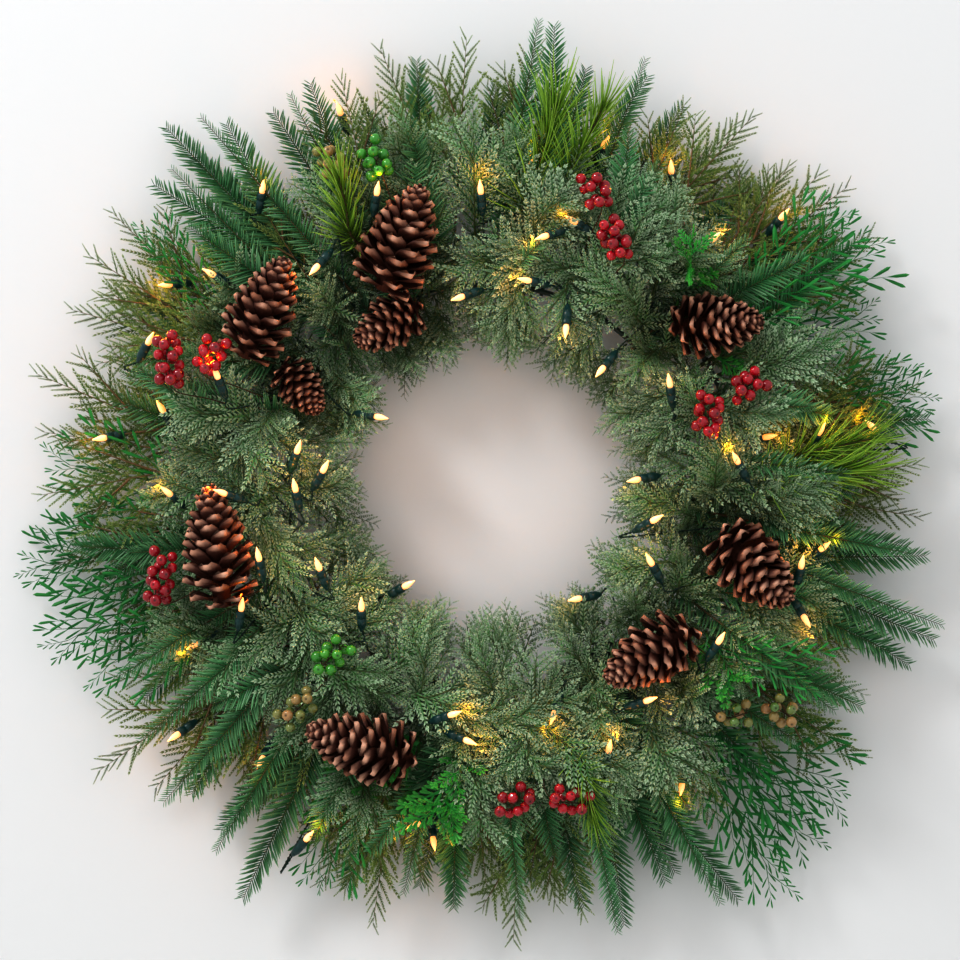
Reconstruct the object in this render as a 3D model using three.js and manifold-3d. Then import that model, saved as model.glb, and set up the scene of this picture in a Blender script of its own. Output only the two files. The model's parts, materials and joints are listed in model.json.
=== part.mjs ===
// A pre-lit mixed evergreen wreath, about 34 inches from tip to tip. Moulded sprays of cedar, cypress, fir,
// yew and arborvitae, tufts of pine, pine cones and berry picks are laid across a double steel ring and
// bound to it. A string of 40 mini lights runs behind the ring to a battery box, and a wire loop at the top
// hangs the whole on a wall hook.
//
// Millimetres. X runs right and Z runs up along the wall, and Y runs back into it, so the wreath faces -Y.
// The origin is where the wall hook carries the wire loop.

import * as THREE from "three";
import { mergeVertices } from "three/addons/utils/BufferGeometryUtils.js";
import Module from "manifold-3d";

const wasm = await Module();
wasm.setup();

// ---------------------------------------------------------------- driving dimensions

const GAP = 0.3; // what touches in the real wreath stays this far apart here
const INNER_RING = 190; // radius of the frame's inner ring, to the middle of its wire
const OUTER_RING = 235;
const RING_WIRE = 2.5; // radius of the ring wire
const RING_SIDES = 4;
const RING_STEPS = 32;
const RING_DEPTH = 32; // how far the rings stand off the wall
const CROSSBARS = 6;
const CROSSBAR_WIRE = 1.8;
const FIRST_CROSSBAR = 15; // degrees round the ring, clear of the stems

const HANGER_WIRE = 1.5;
const HANGER_WIDTH = 26;
const HANGER_TOP = 252; // where the hook carries the loop, above the ring's centre
const HANGER_DEPTH = 4; // how far the loop stands off the wall
const HANGER_ROOT = 3; // how far inside the outer ring each leg of the loop starts
const HANGER_STEP = 8; // how far in front of the loop its legs pass the ring
const HANGER_SHOULDER = 6; // how far above the ring they come back to the wall

const BOX_SIZE = { along: 72, across: 66, deep: 24 }; // the battery box, for three AA cells
const BOX_ANGLE = -62; // degrees round the ring from +X, towards +Z

const STEM_WIDTH = 4; // the bound stretch of each stem is a flattened bar across both rings
const STEM_THICK = 3;
const STEM_OVERHANG = 8; // how far the bar runs past each ring
const STEM_SLOTS = 60; // places for stems round the ring
const FOOT_INSET = 3; // how far inside the end of its stem the first twig or spray is rooted

const CONE_SCALES_ROUND = 6;
const CONE_ROWS = 10;
const CONE_VALLEY = 0.52; // radius between the scales, as a share of the radius over them
const CONE_SCALE_LIFT = 5; // how far a scale's tip leans towards the cone's tip
const CONE_WIDEST = 0.32; // where a cone is widest, as a share of its length from the base
const CONE_BASE = 0.62; // its width at the base, as a share of its greatest width
const CONE_NARROWING = 0.74; // the share of its length over which it would narrow to nothing
const CONE_TWIG_SUNK = 6; // how far its twig reaches into it

const BERRY_RADIUS = 5.3;
const BERRY_TWIG_RADIUS = 1.6;
const BERRY_SUNK = 0.5; // how far a berry's foot reaches into its twig
const BERRY_FOOT = 0.3; // where on its own stretch of the twig a berry sits, as a share of the stretch
const PICK_WIRE = 0.96; // radius of the wire from the stem up to a bunch
const PICK_WIRE_SUNK = 0.05; // how far that wire reaches up the bunch's twig, as a share of the twig
const TWIG_RADIUS = 1.6;

const LOOP_WIRE = 1.3; // the light string's main wire
const LEAD_WIRE = 0.8;
const LOOP_STEPS = 36;
const SOCKET_RADIUS = 4.3;
const SOCKET_LENGTH = 20;
const BULB_RADIUS = 3.1;
const BULB_LENGTH = 16;
const BULB_TIP = 0.8; // radius
const LIGHT_SIDES = 3;
const LIGHT_LEAN = 0.45; // how far a light leans out of the wreath, against 1 along it
const LEAD_RISE = 8; // how far a lead rises over the stems before it turns
const LEAD_STRAIGHT = 3; // the end of a lead that is in line with its socket
const LEAD_LATEST = 0.9; // how far along a stretch of the loop a lead may leave it, as a share
// How many gaps between stems a lead may be moved to find room, and how much higher it may rise.
const LEAD_SLOTS = [0, 1, -1, 2, -2, 3, -3, 4, -4, 5, -5, 6, -6];
const LEAD_BOWS = [0, 10, 20, 30];

const BLADE_THICK = 1.2; // of a moulded spray's flat leaf
const GOLDEN_ANGLE = 137.5; // degrees from one needle to the next round a twig
const TUFT_TWIG = 2.4; // radius
const TUFT_BARE = 0.25; // the share of a tuft's twig below its first needle
const TUFT_LEAFY = 0.72; // the share from there to the last
const NEEDLE_RADIUS = 1.5;
const NEEDLE_FORWARD = 1.25; // how far a needle leans along its twig, against 1 away from it
const TUFT_SHIFTS = [0, 8, -8, 16, -16, 24, -24]; // how far to the right a tuft may be moved to find room
const TUFT_LIFTS = [0, 10, 20, -10, 30]; // how far towards the viewer

const NEAR_ENOUGH = 0.95; // the share of the gap that a measured distance has to keep
const SAME_CORNER = 1e-4; // corners of one face and the next nearer than this were made as one
const WELD = 0.02; // corners nearer than this become one corner
const SLIVER = 0.004; // a triangle lower than this is turned

// ---------------------------------------------------------------- places

// The ring's centre is at (0, 0, 0) while the wreath is put together.
const STEM_DEPTH = RING_DEPTH + RING_WIRE * Math.cos(Math.PI / RING_SIDES) + GAP + STEM_THICK / 2;
const LOOP_RADIUS = (INNER_RING + OUTER_RING) / 2;
const LOOP_DEPTH = RING_DEPTH - CROSSBAR_WIRE - GAP - LOOP_WIRE;

const TOWARDS_VIEWER = new THREE.Vector3(0, -1, 0);
const FORWARD = new THREE.Vector3(0.1, -1, 0.1).normalize(); // nearly that, and never in line with a stem

const rad = THREE.MathUtils.degToRad;

// A place given by its angle round the ring, its distance from the centre and its depth off the wall.
function polar(degrees, radius, depth) {
  return new THREE.Vector3(radius * Math.cos(rad(degrees)), -depth, radius * Math.sin(rad(degrees)));
}

// A place given by how far it lies right of and above the centre, and in front of the wall.
function place(right, up, depth) {
  return new THREE.Vector3(right, -depth, up);
}

const angleOf = (p) => THREE.MathUtils.radToDeg(Math.atan2(p.z, p.x));
const radiusOf = (p) => Math.hypot(p.x, p.z);

// ---------------------------------------------------------------- solids

function solidOf(geometry) {
  const bare = geometry.index ? geometry.toNonIndexed() : geometry;
  const positions = new THREE.BufferGeometry().setAttribute("position", bare.getAttribute("position"));
  const merged = mergeVertices(positions, SAME_CORNER);
  const mesh = new wasm.Mesh({
    numProp: 3,
    vertProperties: merged.attributes.position.array,
    triVerts: new Uint32Array(merged.index.array),
  });
  const solid = new wasm.Manifold(mesh);
  if (solid.volume() <= 0) throw new Error("a solid is inside out");
  return solid;
}

function fuse(solids) {
  return solids.reduce((whole, solid) => whole.add(solid));
}

// Turns the long edge of each sliver, so that no triangle is nearly a line.
function turnSlivers(triangles, at) {
  const owner = new Map();
  const claim = (index) => {
    const t = triangles[index];
    for (let i = 0; i < 3; i++) owner.set(t[i] + ">" + t[(i + 1) % 3], index);
  };
  triangles.forEach((t, index) => claim(index));
  triangles.forEach((t, index) => {
    const sides = t.map((corner, i) => at[corner].distanceTo(at[t[(i + 1) % 3]]));
    const longest = sides.indexOf(Math.max(...sides));
    const [a, b, c] = [t[longest], t[(longest + 1) % 3], t[(longest + 2) % 3]];
    const foot = new THREE.Line3(at[a], at[b]).closestPointToPoint(at[c], true, new THREE.Vector3());
    if (foot.distanceTo(at[c]) > SLIVER) return;
    const other = owner.get(b + ">" + a);
    const d = triangles[other].find((corner) => corner !== a && corner !== b);
    if (owner.has(c + ">" + d) || owner.has(d + ">" + c)) return;
    owner.delete(a + ">" + b);
    owner.delete(b + ">" + a);
    triangles[index] = [a, d, c];
    triangles[other] = [d, b, c];
    claim(index);
    claim(other);
  });
  return triangles;
}

// The solid's surface, with corners closer than WELD drawn into one and without slivers.
function geometryOf(solid) {
  const mesh = solid.getMesh();
  const positions = new Float32Array(mesh.numVert * 3);
  for (let i = 0; i < mesh.numVert; i++) {
    positions.set(mesh.vertProperties.subarray(i * mesh.numProp, i * mesh.numProp + 3), i * 3);
  }
  const raw = new THREE.BufferGeometry();
  raw.setAttribute("position", new THREE.BufferAttribute(positions, 3));
  raw.setIndex(new THREE.BufferAttribute(mesh.triVerts, 1));
  const welded = mergeVertices(raw, WELD);
  const corner = welded.getAttribute("position");
  const placeOf = (_, i) => new THREE.Vector3().fromBufferAttribute(corner, i);
  const at = Array.from({ length: corner.count }, placeOf);
  const triangles = [];
  for (let i = 0; i < welded.index.count; i += 3) {
    const corners = [0, 1, 2].map((k) => welded.index.getX(i + k));
    if (new Set(corners).size === 3) triangles.push(corners);
  }
  welded.setIndex(turnSlivers(triangles, at).flat());
  welded.computeVertexNormals();
  return welded;
}

// A solid drawn through a list of places, with one radius for all or one for each.
function sweep(places, radii, sides = 4) {
  const points = [];
  let side = FORWARD.clone();
  places.forEach((at, i) => {
    const [before, after] = [places[Math.max(0, i - 1)], places[Math.min(places.length - 1, i + 1)]];
    const along = after.clone().sub(before).normalize();
    side = side.clone().addScaledVector(along, -side.dot(along)).normalize();
    const up = along.clone().cross(side);
    const radius = Array.isArray(radii) ? radii[i] : radii;
    for (let j = 0; j < sides; j++) {
      const turn = ((j + 0.5) / sides) * 2 * Math.PI;
      const out = side.clone().multiplyScalar(Math.cos(turn)).addScaledVector(up, Math.sin(turn));
      points.push(at.clone().addScaledVector(out, radius));
    }
  });
  const faces = [];
  const last = (places.length - 1) * sides;
  for (let j = 0; j < sides; j++) {
    const next = (j + 1) % sides;
    for (let foot = 0; foot < last; foot += sides) {
      faces.push(foot + j, foot + next, foot + sides + j);
      faces.push(foot + next, foot + sides + next, foot + sides + j);
    }
  }
  for (let j = 2; j < sides; j++) faces.push(0, j, j - 1, last, last + j - 1, last + j);
  return solidOf(new THREE.BufferGeometry().setFromPoints(points).setIndex(faces));
}

// A geometry made along +Y from the origin, turned to point along a direction and moved to a place.
function aimed(geometry, from, direction) {
  const upwards = new THREE.Vector3(0, 1, 0);
  const turn = new THREE.Quaternion().setFromUnitVectors(upwards, direction.clone().normalize());
  geometry.applyQuaternion(turn);
  geometry.translate(from.x, from.y, from.z);
  return solidOf(geometry);
}

// ---------------------------------------------------------------- what is in place already

const pieces = []; // {name, solid, finish}, in the order that they are put on
const taken = []; // {name, solid, box} of everything that a new piece has to stay clear of

function boxOf(solid) {
  const { min, max } = solid.boundingBox();
  return new THREE.Box3(new THREE.Vector3(...min), new THREE.Vector3(...max));
}

function isClear(solid, name) {
  const box = boxOf(solid).expandByScalar(GAP);
  return taken.every((other) => {
    if (other.name === name || !other.box.intersectsBox(box)) return true;
    return other.solid.minGap(solid, 2 * GAP) >= GAP * NEAR_ENOUGH;
  });
}

function take(name, solid) {
  taken.push({ name, solid, box: boxOf(solid) });
}

// Tries ways of laying a piece, nearest to the wanted one first, and keeps the first that touches nothing
// and spoils nothing of its own.
function layClear(name, ways, make, spoils = () => false) {
  for (const way of ways) {
    const solid = make(way);
    if (isClear(solid, name) && !spoils(solid)) {
      take(name, solid);
      return solid;
    }
  }
  throw new Error(name + " has a piece without room");
}

// Every choice of one value from each named list, those nearest to the front of the lists first.
function waysOf(lists) {
  let ways = [{ cost: 0 }];
  for (const [key, values] of Object.entries(lists)) {
    const choices = (way) => values.map((value, i) => ({ ...way, [key]: value, cost: way.cost + i }));
    ways = ways.flatMap(choices);
  }
  return ways.sort((p, q) => p.cost - q.cost);
}

function put(name, solid, finish) {
  pieces.push({ name, solid, finish });
}

// ---------------------------------------------------------------- stems on the frame

const slotsTaken = new Set();

// The free slot nearest to an angle, as an angle.
function slotNear(degrees) {
  const step = 360 / STEM_SLOTS;
  const wanted = Math.round(degrees / step);
  for (let away = 0; away < STEM_SLOTS; away++) {
    for (const slot of [wanted + away, wanted - away]) {
      const index = ((slot % STEM_SLOTS) + STEM_SLOTS) % STEM_SLOTS;
      if (!slotsTaken.has(index)) {
        slotsTaken.add(index);
        return index * step;
      }
    }
  }
  throw new Error("no slot is left on the ring");
}

// The stretch of stem that is bound across both rings.
function boundStem(degrees) {
  const length = OUTER_RING - INNER_RING + 2 * STEM_OVERHANG;
  const bar = new THREE.BoxGeometry(length, STEM_THICK, STEM_WIDTH);
  bar.rotateY(-rad(degrees));
  const middle = polar(degrees, LOOP_RADIUS, STEM_DEPTH);
  bar.translate(middle.x, middle.y, middle.z);
  return solidOf(bar);
}

// ---------------------------------------------------------------- frame, hanger and battery box

function ring(radius) {
  const section = [];
  const side = (2 * Math.PI) / RING_SIDES;
  const firstCorner = Math.PI / 2 - side / 2; // a flat side then faces the viewer
  for (let i = 0; i <= RING_SIDES; i++) {
    const turn = firstCorner + ((i + 1) % RING_SIDES) * side;
    section.push(new THREE.Vector2(radius + RING_WIRE * Math.cos(turn), RING_WIRE * Math.sin(turn)));
  }
  const geometry = new THREE.LatheGeometry(section, RING_STEPS);
  geometry.rotateX(Math.PI); // from +Y towards the viewer, at -Y
  geometry.translate(0, -RING_DEPTH, 0);
  return solidOf(geometry);
}

// A loop of wire with both its legs on the outer ring, so that its top bears on the hook.
function hanger() {
  const leg = (right) => [
    place(right, OUTER_RING - HANGER_ROOT, RING_DEPTH),
    place(right, OUTER_RING, HANGER_DEPTH + HANGER_STEP),
    place(right, OUTER_RING + HANGER_SHOULDER, HANGER_DEPTH),
  ];
  const top = place(0, HANGER_TOP + HANGER_WIRE, HANGER_DEPTH);
  return sweep([...leg(-HANGER_WIDTH / 2), top, ...leg(HANGER_WIDTH / 2).reverse()], HANGER_WIRE);
}

function frame() {
  const bars = [];
  for (let i = 0; i < CROSSBARS; i++) {
    const degrees = (i * 360) / CROSSBARS + FIRST_CROSSBAR;
    const from = polar(degrees, INNER_RING, RING_DEPTH);
    bars.push(sweep([from, polar(degrees, OUTER_RING, RING_DEPTH)], CROSSBAR_WIRE));
  }
  return fuse([ring(INNER_RING), ring(OUTER_RING), ...bars, hanger()]);
}

function batteryBox() {
  const geometry = new THREE.BoxGeometry(BOX_SIZE.across, BOX_SIZE.deep, BOX_SIZE.along);
  geometry.rotateY(-rad(BOX_ANGLE));
  const ringBack = RING_DEPTH - RING_WIRE;
  const middle = polar(BOX_ANGLE, LOOP_RADIUS, ringBack - GAP - BOX_SIZE.deep / 2);
  geometry.translate(middle.x, middle.y, middle.z);
  return solidOf(geometry);
}

const frameSolid = frame();
take("ring_frame", frameSolid);
put("ring_frame", frameSolid, "steel");
const boxSolid = batteryBox();
take("battery_box", boxSolid);
put("battery_box", boxSolid, "box");

// ---------------------------------------------------------------- pine cones

// Each cone: where its middle is, which way its tip points (right, up, to the viewer), its length and width.
const CONES = [
  { at: [-80, 232, 92], tip: [0.34, 0.86, 0.38], long: 112, wide: 78 },
  { at: [-206, 168, 98], tip: [0.4, 0.86, 0.3], long: 108, wide: 70 },
  { at: [-252, -50, 104], tip: [-0.1, 0.97, 0.2], long: 122, wide: 74 },
  { at: [-124, -236, 100], tip: [-0.88, 0.3, 0.36], long: 112, wide: 72 },
  { at: [142, -156, 102], tip: [-0.8, -0.46, 0.38], long: 100, wide: 68 },
  { at: [246, -78, 96], tip: [0.6, -0.6, 0.52], long: 100, wide: 72 },
  { at: [214, 150, 88], tip: [0.84, 0.02, 0.54], long: 94, wide: 64 },
  { at: [-174, 90, 66], tip: [0.6, -0.76, 0.24], long: 60, wide: 44 },
  { at: [-98, 150, 62], tip: [-0.75, -0.5, 0.3], long: 72, wide: 54 },
];

// How wide a cone is at a share of its length from the base, as a share of its greatest width.
function coneProfile(u) {
  const swelling = CONE_BASE + (1 - CONE_BASE) * Math.sin(Math.min(u / CONE_WIDEST, 1) * (Math.PI / 2));
  const narrowing = Math.sqrt(1 - (Math.max(0, u - CONE_WIDEST) / CONE_NARROWING) ** 2);
  return swelling * narrowing;
}

// The cone's skin: rings of places, where every second is a scale's tip and the rest lie deep between scales.
function coneGeometry(long, wide) {
  const columns = 2 * CONE_SCALES_ROUND;
  const points = [[0, 0, 0]];
  for (let row = 0; row < CONE_ROWS; row++) {
    const u = (row + 0.5) / CONE_ROWS;
    const over = (coneProfile(u) * wide) / 2;
    for (let column = 0; column < columns; column++) {
      const isTip = (row + column) % 2 === 0;
      const radius = isTip ? over : over * CONE_VALLEY;
      const turn = (column / columns) * 2 * Math.PI;
      const height = u * long + (isTip ? CONE_SCALE_LIFT : 0);
      points.push([radius * Math.cos(turn), height, radius * Math.sin(turn)]);
    }
  }
  points.push([0, long + CONE_SCALE_LIFT, 0]);
  const faces = [];
  const at = (row, column) => 1 + row * columns + (column % columns);
  for (let column = 0; column < columns; column++) {
    faces.push([0, at(0, column), at(0, column + 1)]);
    faces.push([points.length - 1, at(CONE_ROWS - 1, column + 1), at(CONE_ROWS - 1, column)]);
    for (let row = 0; row + 1 < CONE_ROWS; row++) {
      const [a, b] = [at(row, column), at(row, column + 1)];
      const [c, d] = [at(row + 1, column), at(row + 1, column + 1)];
      // The edge across each square joins the two deep places, so each scale keeps a sharp tip.
      if ((row + column) % 2 === 0) faces.push([a, c, b], [b, c, d]);
      else faces.push([a, d, b], [a, c, d]);
    }
  }
  const geometry = new THREE.BufferGeometry();
  geometry.setAttribute("position", new THREE.Float32BufferAttribute(points.flat(), 3));
  geometry.setIndex(faces.flat());
  return geometry;
}

// A twig from the bound stem up to a place, rooted where the bar lies nearest below it.
function twigUp(degrees, to, radius, sides = 3) {
  const reach = STEM_OVERHANG - FOOT_INSET;
  const rootRadius = THREE.MathUtils.clamp(radiusOf(to), INNER_RING - reach, OUTER_RING + reach);
  return sweep([polar(degrees, rootRadius, STEM_DEPTH), to], radius, sides);
}

CONES.forEach((cone, index) => {
  const name = "pine_cone_" + (index + 1);
  const tip = new THREE.Vector3(cone.tip[0], -cone.tip[2], cone.tip[1]).normalize();
  const base = place(...cone.at).addScaledVector(tip, -cone.long / 2);
  const body = aimed(coneGeometry(cone.long, cone.wide), base, tip);
  const slot = slotNear(angleOf(base));
  const root = base.clone().addScaledVector(tip, CONE_TWIG_SUNK);
  const solid = fuse([body, twigUp(slot, root, TWIG_RADIUS), boundStem(slot)]);
  take(name, solid);
  put(name, solid, "cone");
});

// ---------------------------------------------------------------- berry picks

// Each pick: its colour, and for each bunch where its twig starts and ends and how many berries are on it.
const PICKS = [
  {
    name: "red_berries_1",
    finish: "red_berry",
    bunches: [
      [[-292, 92, 112], [-296, 142, 100], 4],
      [[-262, 104, 116], [-246, 140, 106], 3],
    ],
  },
  {
    name: "red_berries_2",
    finish: "red_berry",
    bunches: [
      [[122, 208, 126], [106, 246, 120], 4],
      [[102, 256, 116], [92, 286, 104], 3],
    ],
  },
  {
    name: "red_berries_3",
    finish: "red_berry",
    bunches: [
      [[196, 42, 118], [202, 86, 118], 4],
      [[222, 84, 116], [250, 100, 104], 3],
    ],
  },
  {
    name: "red_berries_4",
    finish: "red_berry",
    bunches: [
      [[-306, -108, 88], [-300, -62, 84], 5],
    ],
  },
  {
    name: "red_berries_5",
    finish: "red_berry",
    bunches: [
      [[10, -298, 92], [36, -280, 96], 3],
      [[54, -284, 98], [90, -292, 90], 4],
    ],
  },
  {
    name: "mixed_berries_1",
    finish: "mixed_berry",
    bunches: [
      [[-138, 284, 62], [-154, 316, 52], 4],
    ],
  },
  {
    name: "mixed_berries_2",
    finish: "mixed_berry",
    bunches: [
      [[-162, -190, 98], [-190, -216, 90], 4],
    ],
  },
  {
    name: "mixed_berries_3",
    finish: "mixed_berry",
    bunches: [
      [[214, -212, 74], [238, -208, 80], 3],
      [[256, -198, 78], [280, -214, 70], 3],
    ],
  },
  {
    name: "green_berries_1",
    finish: "green_berry",
    bunches: [
      [[-98, 284, 92], [-112, 314, 84], 4],
    ],
  },
  {
    name: "green_berries_2",
    finish: "green_berry",
    bunches: [
      [[-158, -168, 104], [-134, -144, 104], 4],
    ],
  },
];

// Berries on the four sides of a twig, each sunk a little into it.
function bunch(first, last, count) {
  const along = last.clone().sub(first).normalize();
  const side = FORWARD.clone().addScaledVector(along, -FORWARD.dot(along)).normalize();
  const up = along.clone().cross(side);
  const parts = [sweep([first, last], BERRY_TWIG_RADIUS)];
  const seat = BERRY_TWIG_RADIUS * Math.SQRT1_2 + BERRY_RADIUS - BERRY_SUNK;
  for (let i = 0; i < count; i++) {
    const out = [side, up, side, up][i % 4].clone().multiplyScalar(i % 4 < 2 ? 1 : -1);
    const at = first.clone().lerp(last, (i + BERRY_FOOT) / count).addScaledVector(out, seat);
    const berry = new THREE.IcosahedronGeometry(BERRY_RADIUS, 0);
    const corner = new THREE.Vector3().fromBufferAttribute(berry.getAttribute("position"), 0).normalize();
    berry.applyQuaternion(new THREE.Quaternion().setFromUnitVectors(corner, out.negate()));
    berry.translate(at.x, at.y, at.z);
    parts.push(solidOf(berry));
  }
  return parts;
}

for (const pick of PICKS) {
  const bunches = pick.bunches.map(([first, last, count]) => [place(...first), place(...last), count]);
  const middle = bunches[0][0].clone().lerp(bunches[0][1], 0.5);
  const slot = slotNear(angleOf(middle));
  const parts = [boundStem(slot)];
  for (const [first, last, count] of bunches) {
    const wireEnd = first.clone().lerp(last, PICK_WIRE_SUNK);
    parts.push(twigUp(slot, wireEnd, PICK_WIRE), ...bunch(first, last, count));
  }
  const solid = fuse(parts);
  take(pick.name, solid);
  put(pick.name, solid, pick.finish);
}

// ---------------------------------------------------------------- light string

// Each light: where its bulb is (right, up, in front of the wall) and which way the bulb points, as an angle
// from +X.
const LIGHTS = [
  [-99, 64, 92, 350], [-211, 281, 64, 80], [-262, 200, 70, 150], [-305, 189, 48, 185],
  [-307, 76, 66, 120], [-366, 45, 50, 190], [-301, -3, 76, 140], [-175, 38, 112, 70],
  [-150, 20, 118, 60], [-179, 3, 116, 100], [-31, 173, 104, 200], [-9, 277, 100, 95],
  [109, 323, 58, 60], [37, 304, 72, 95], [169, 300, 54, 95], [73, 246, 108, 150],
  [30, 190, 112, 170], [69, 141, 116, 265], [100, 105, 104, 230], [164, 99, 108, 100],
  [209, 232, 84, 40], [276, 256, 50, 50], [354, 59, 52, 140], [260, 47, 84, 10],
  [131, 6, 92, 190], [-212, -60, 122, 100], [-158, -69, 118, 110], [-118, -106, 108, 90],
  [-277, -148, 70, 210], [-296, -234, 56, 215], [-214, -257, 66, 240], [-168, -325, 50, 50],
  [-52, -333, 64, 280], [-31, -207, 110, 20], [154, -28, 110, 30], [77, -104, 84, 190],
  [289, -68, 80, 80], [148, -194, 112, 20], [57, -213, 102, 250], [178, -282, 62, 260],
];

// The main wire runs round behind the frame from one side of the battery box to the other.
const loopHalfGap = THREE.MathUtils.radToDeg(Math.asin((BOX_SIZE.along / 2 + 3 * GAP) / LOOP_RADIUS));
const loopStart = BOX_ANGLE + loopHalfGap;
const loopStep = (360 - 2 * loopHalfGap) / LOOP_STEPS;
const loopPlaces = [];
for (let i = 0; i <= LOOP_STEPS; i++) {
  loopPlaces.push(polar(loopStart + i * loopStep, LOOP_RADIUS, LOOP_DEPTH));
}

// The place on the main wire at an angle.
function onLoop(degrees) {
  const steps = THREE.MathUtils.euclideanModulo(degrees - loopStart, 360) / loopStep;
  const before = Math.min(Math.floor(steps), LOOP_STEPS - 1);
  return loopPlaces[before].clone().lerp(loopPlaces[before + 1], Math.min(steps - before, LEAD_LATEST));
}

// One light on its lead. The lead leaves the loop at an angle, rises between the rings and runs out to the
// socket.
function light(bulb, pointing, leadAngle, bow) {
  const direction = polar(pointing, 1, LIGHT_LEAN).normalize();
  const beyond = (distance) => bulb.clone().addScaledVector(direction, distance);
  const foot = -BULB_LENGTH / 2 - SOCKET_LENGTH;
  const places = [
    onLoop(leadAngle),
    polar(leadAngle, LOOP_RADIUS, STEM_DEPTH + LEAD_RISE + bow),
    beyond(foot - LEAD_STRAIGHT),
    beyond(foot),
    beyond(-BULB_LENGTH / 2),
    beyond(BULB_LENGTH / 2),
  ];
  return sweep(places, [LEAD_WIRE, LEAD_WIRE, LEAD_WIRE, SOCKET_RADIUS, BULB_RADIUS, BULB_TIP], LIGHT_SIDES);
}

const slotStep = 360 / STEM_SLOTS;
const loop = sweep(loopPlaces, LOOP_WIRE);
const lights = [];
for (const [right, up, depth, pointing] of LIGHTS) {
  const at = place(right, up, depth);
  const betweenStems = (Math.floor(angleOf(at) / slotStep) + 0.5) * slotStep;
  const ways = waysOf({ slots: LEAD_SLOTS, bow: LEAD_BOWS });
  const make = (way) => light(at, pointing, betweenStems + way.slots * slotStep, way.bow);
  const crosses = (solid) => lights.some((other) => !solid.intersect(other).isEmpty());
  lights.push(layClear("light_string", ways, make, crosses));
}
take("light_string", loop);
put("light_string", fuse([loop, ...lights]), "wire");

// ---------------------------------------------------------------- sprays

// A width that swells and narrows again along a spray like a stretch of a sine wave, over a least share.
const swell = (least, from, to) => (u) => least + (1 - least) * Math.sin(Math.PI * (from + (to - from) * u));

// A comb's width: nearly full from the foot on, and narrowing late.
const comb = (u) => Math.min(1, 0.75 + u) * Math.pow(1 - u, 0.35);

// Each kind of moulded spray: how many lobes or needles stand on each side of its rib, how much of its
// length is bare stem, how far each lobe sweeps forward as a share of its own length, how much its sides
// droop, and how its width runs from foot to tip.
const KINDS = {
  cedar: { lobes: 4, bare: 0.2, sweep: 0.75, droop: 7, wide: swell(0.45, 0.22, 1.12) },
  cypress: { lobes: 4, bare: 0.24, sweep: 1.05, droop: 5, wide: swell(0.3, 0.18, 0.98) },
  fir: { lobes: 6, bare: 0.14, sweep: 0.45, droop: 6, wide: comb },
  yew: { lobes: 4, bare: 0.26, sweep: 1.0, droop: 3, wide: swell(0.55, 0, 1) },
  arborvitae: { lobes: 4, bare: 0.22, sweep: 0.8, droop: 6, wide: swell(0.7, 0, 1) },
};
const RIB_AT_FOOT = 1.8; // half the stem's width where a spray starts
const RIB_AT_TIP = 1.1;
const LOBE_END = 0.6; // the bare end past the last lobe, as a share of a lobe's length
const LEAST_LOBE = 6; // how far the shortest lobe reaches from the rib's middle
const LOBE_SHORT = 2; // how far short of the spray's tip a lobe stays
const STAGGER = 0.35; // how far one side's lobes are set on from the other's, as a share of a lobe's length

// The rib's half width at a distance from the foot. It is hollow-ground, so its corners don't lie in a line.
function ribHalf(x, long) {
  return RIB_AT_TIP + (RIB_AT_FOOT - RIB_AT_TIP) * (1 - x / long) ** 2;
}

// A flat spray along +X with its foot at the origin: a strip of triangles for the rib, one for each lobe.
function flatSpray(kind, long, wide) {
  const pitch = (long * (1 - kind.bare)) / (kind.lobes + LOBE_END);
  const points = [];
  const faces = [];
  const add = (x, y) => points.push([x, y]) - 1;
  const face = (side, a, b, c) => faces.push(side > 0 ? [a, b, c] : [a, c, b]);
  const edgeOf = (side, stagger) => {
    const along = (i) => long * kind.bare + (i + stagger) * pitch;
    const edge = [add(0, side * RIB_AT_FOOT)];
    for (let i = 0; i <= kind.lobes; i++) edge.push(add(along(i), side * ribHalf(along(i), long)));
    for (let i = 0; i < kind.lobes; i++) {
      const reach = Math.max(LEAST_LOBE, (wide / 2) * kind.wide((i + stagger) / kind.lobes));
      const lobeTip = add(Math.min(along(i + 0.5) + reach * kind.sweep, long - LOBE_SHORT), side * reach);
      face(side, edge[i + 1], edge[i + 2], lobeTip);
    }
    return edge;
  };
  const [lower, upper] = [edgeOf(-1, 0), edgeOf(1, STAGGER)];
  for (let i = 0; i + 1 < lower.length; i++) {
    faces.push([lower[i], lower[i + 1], upper[i]], [upper[i], lower[i + 1], upper[i + 1]]);
  }
  faces.push([lower.at(-1), add(long, 0), upper.at(-1)]);
  return { points, faces };
}

// Gives a flat sheet of triangles its thickness: the same triangles on both faces, and a wall round the edge.
function thicken({ points, faces }, thick) {
  const sheetAt = (z) => points.map(([x, y]) => new THREE.Vector3(x, y, z));
  const corners = [...sheetAt(thick / 2), ...sheetAt(-thick / 2)];
  const back = (corner) => corner + points.length;
  const edges = faces.flatMap(([a, b, c]) => [[a, b], [b, c], [c, a]]);
  const held = new Set(edges.map((edge) => edge.join(">")));
  const rim = edges.filter(([a, b]) => !held.has(b + ">" + a));
  const all = [
    ...faces,
    ...faces.map(([a, b, c]) => [back(a), back(c), back(b)]),
    ...rim.flatMap(([a, b]) => [[back(a), back(b), b], [back(a), b, a]]),
  ];
  return new THREE.BufferGeometry().setFromPoints(corners).setIndex(all.flat());
}

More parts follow.
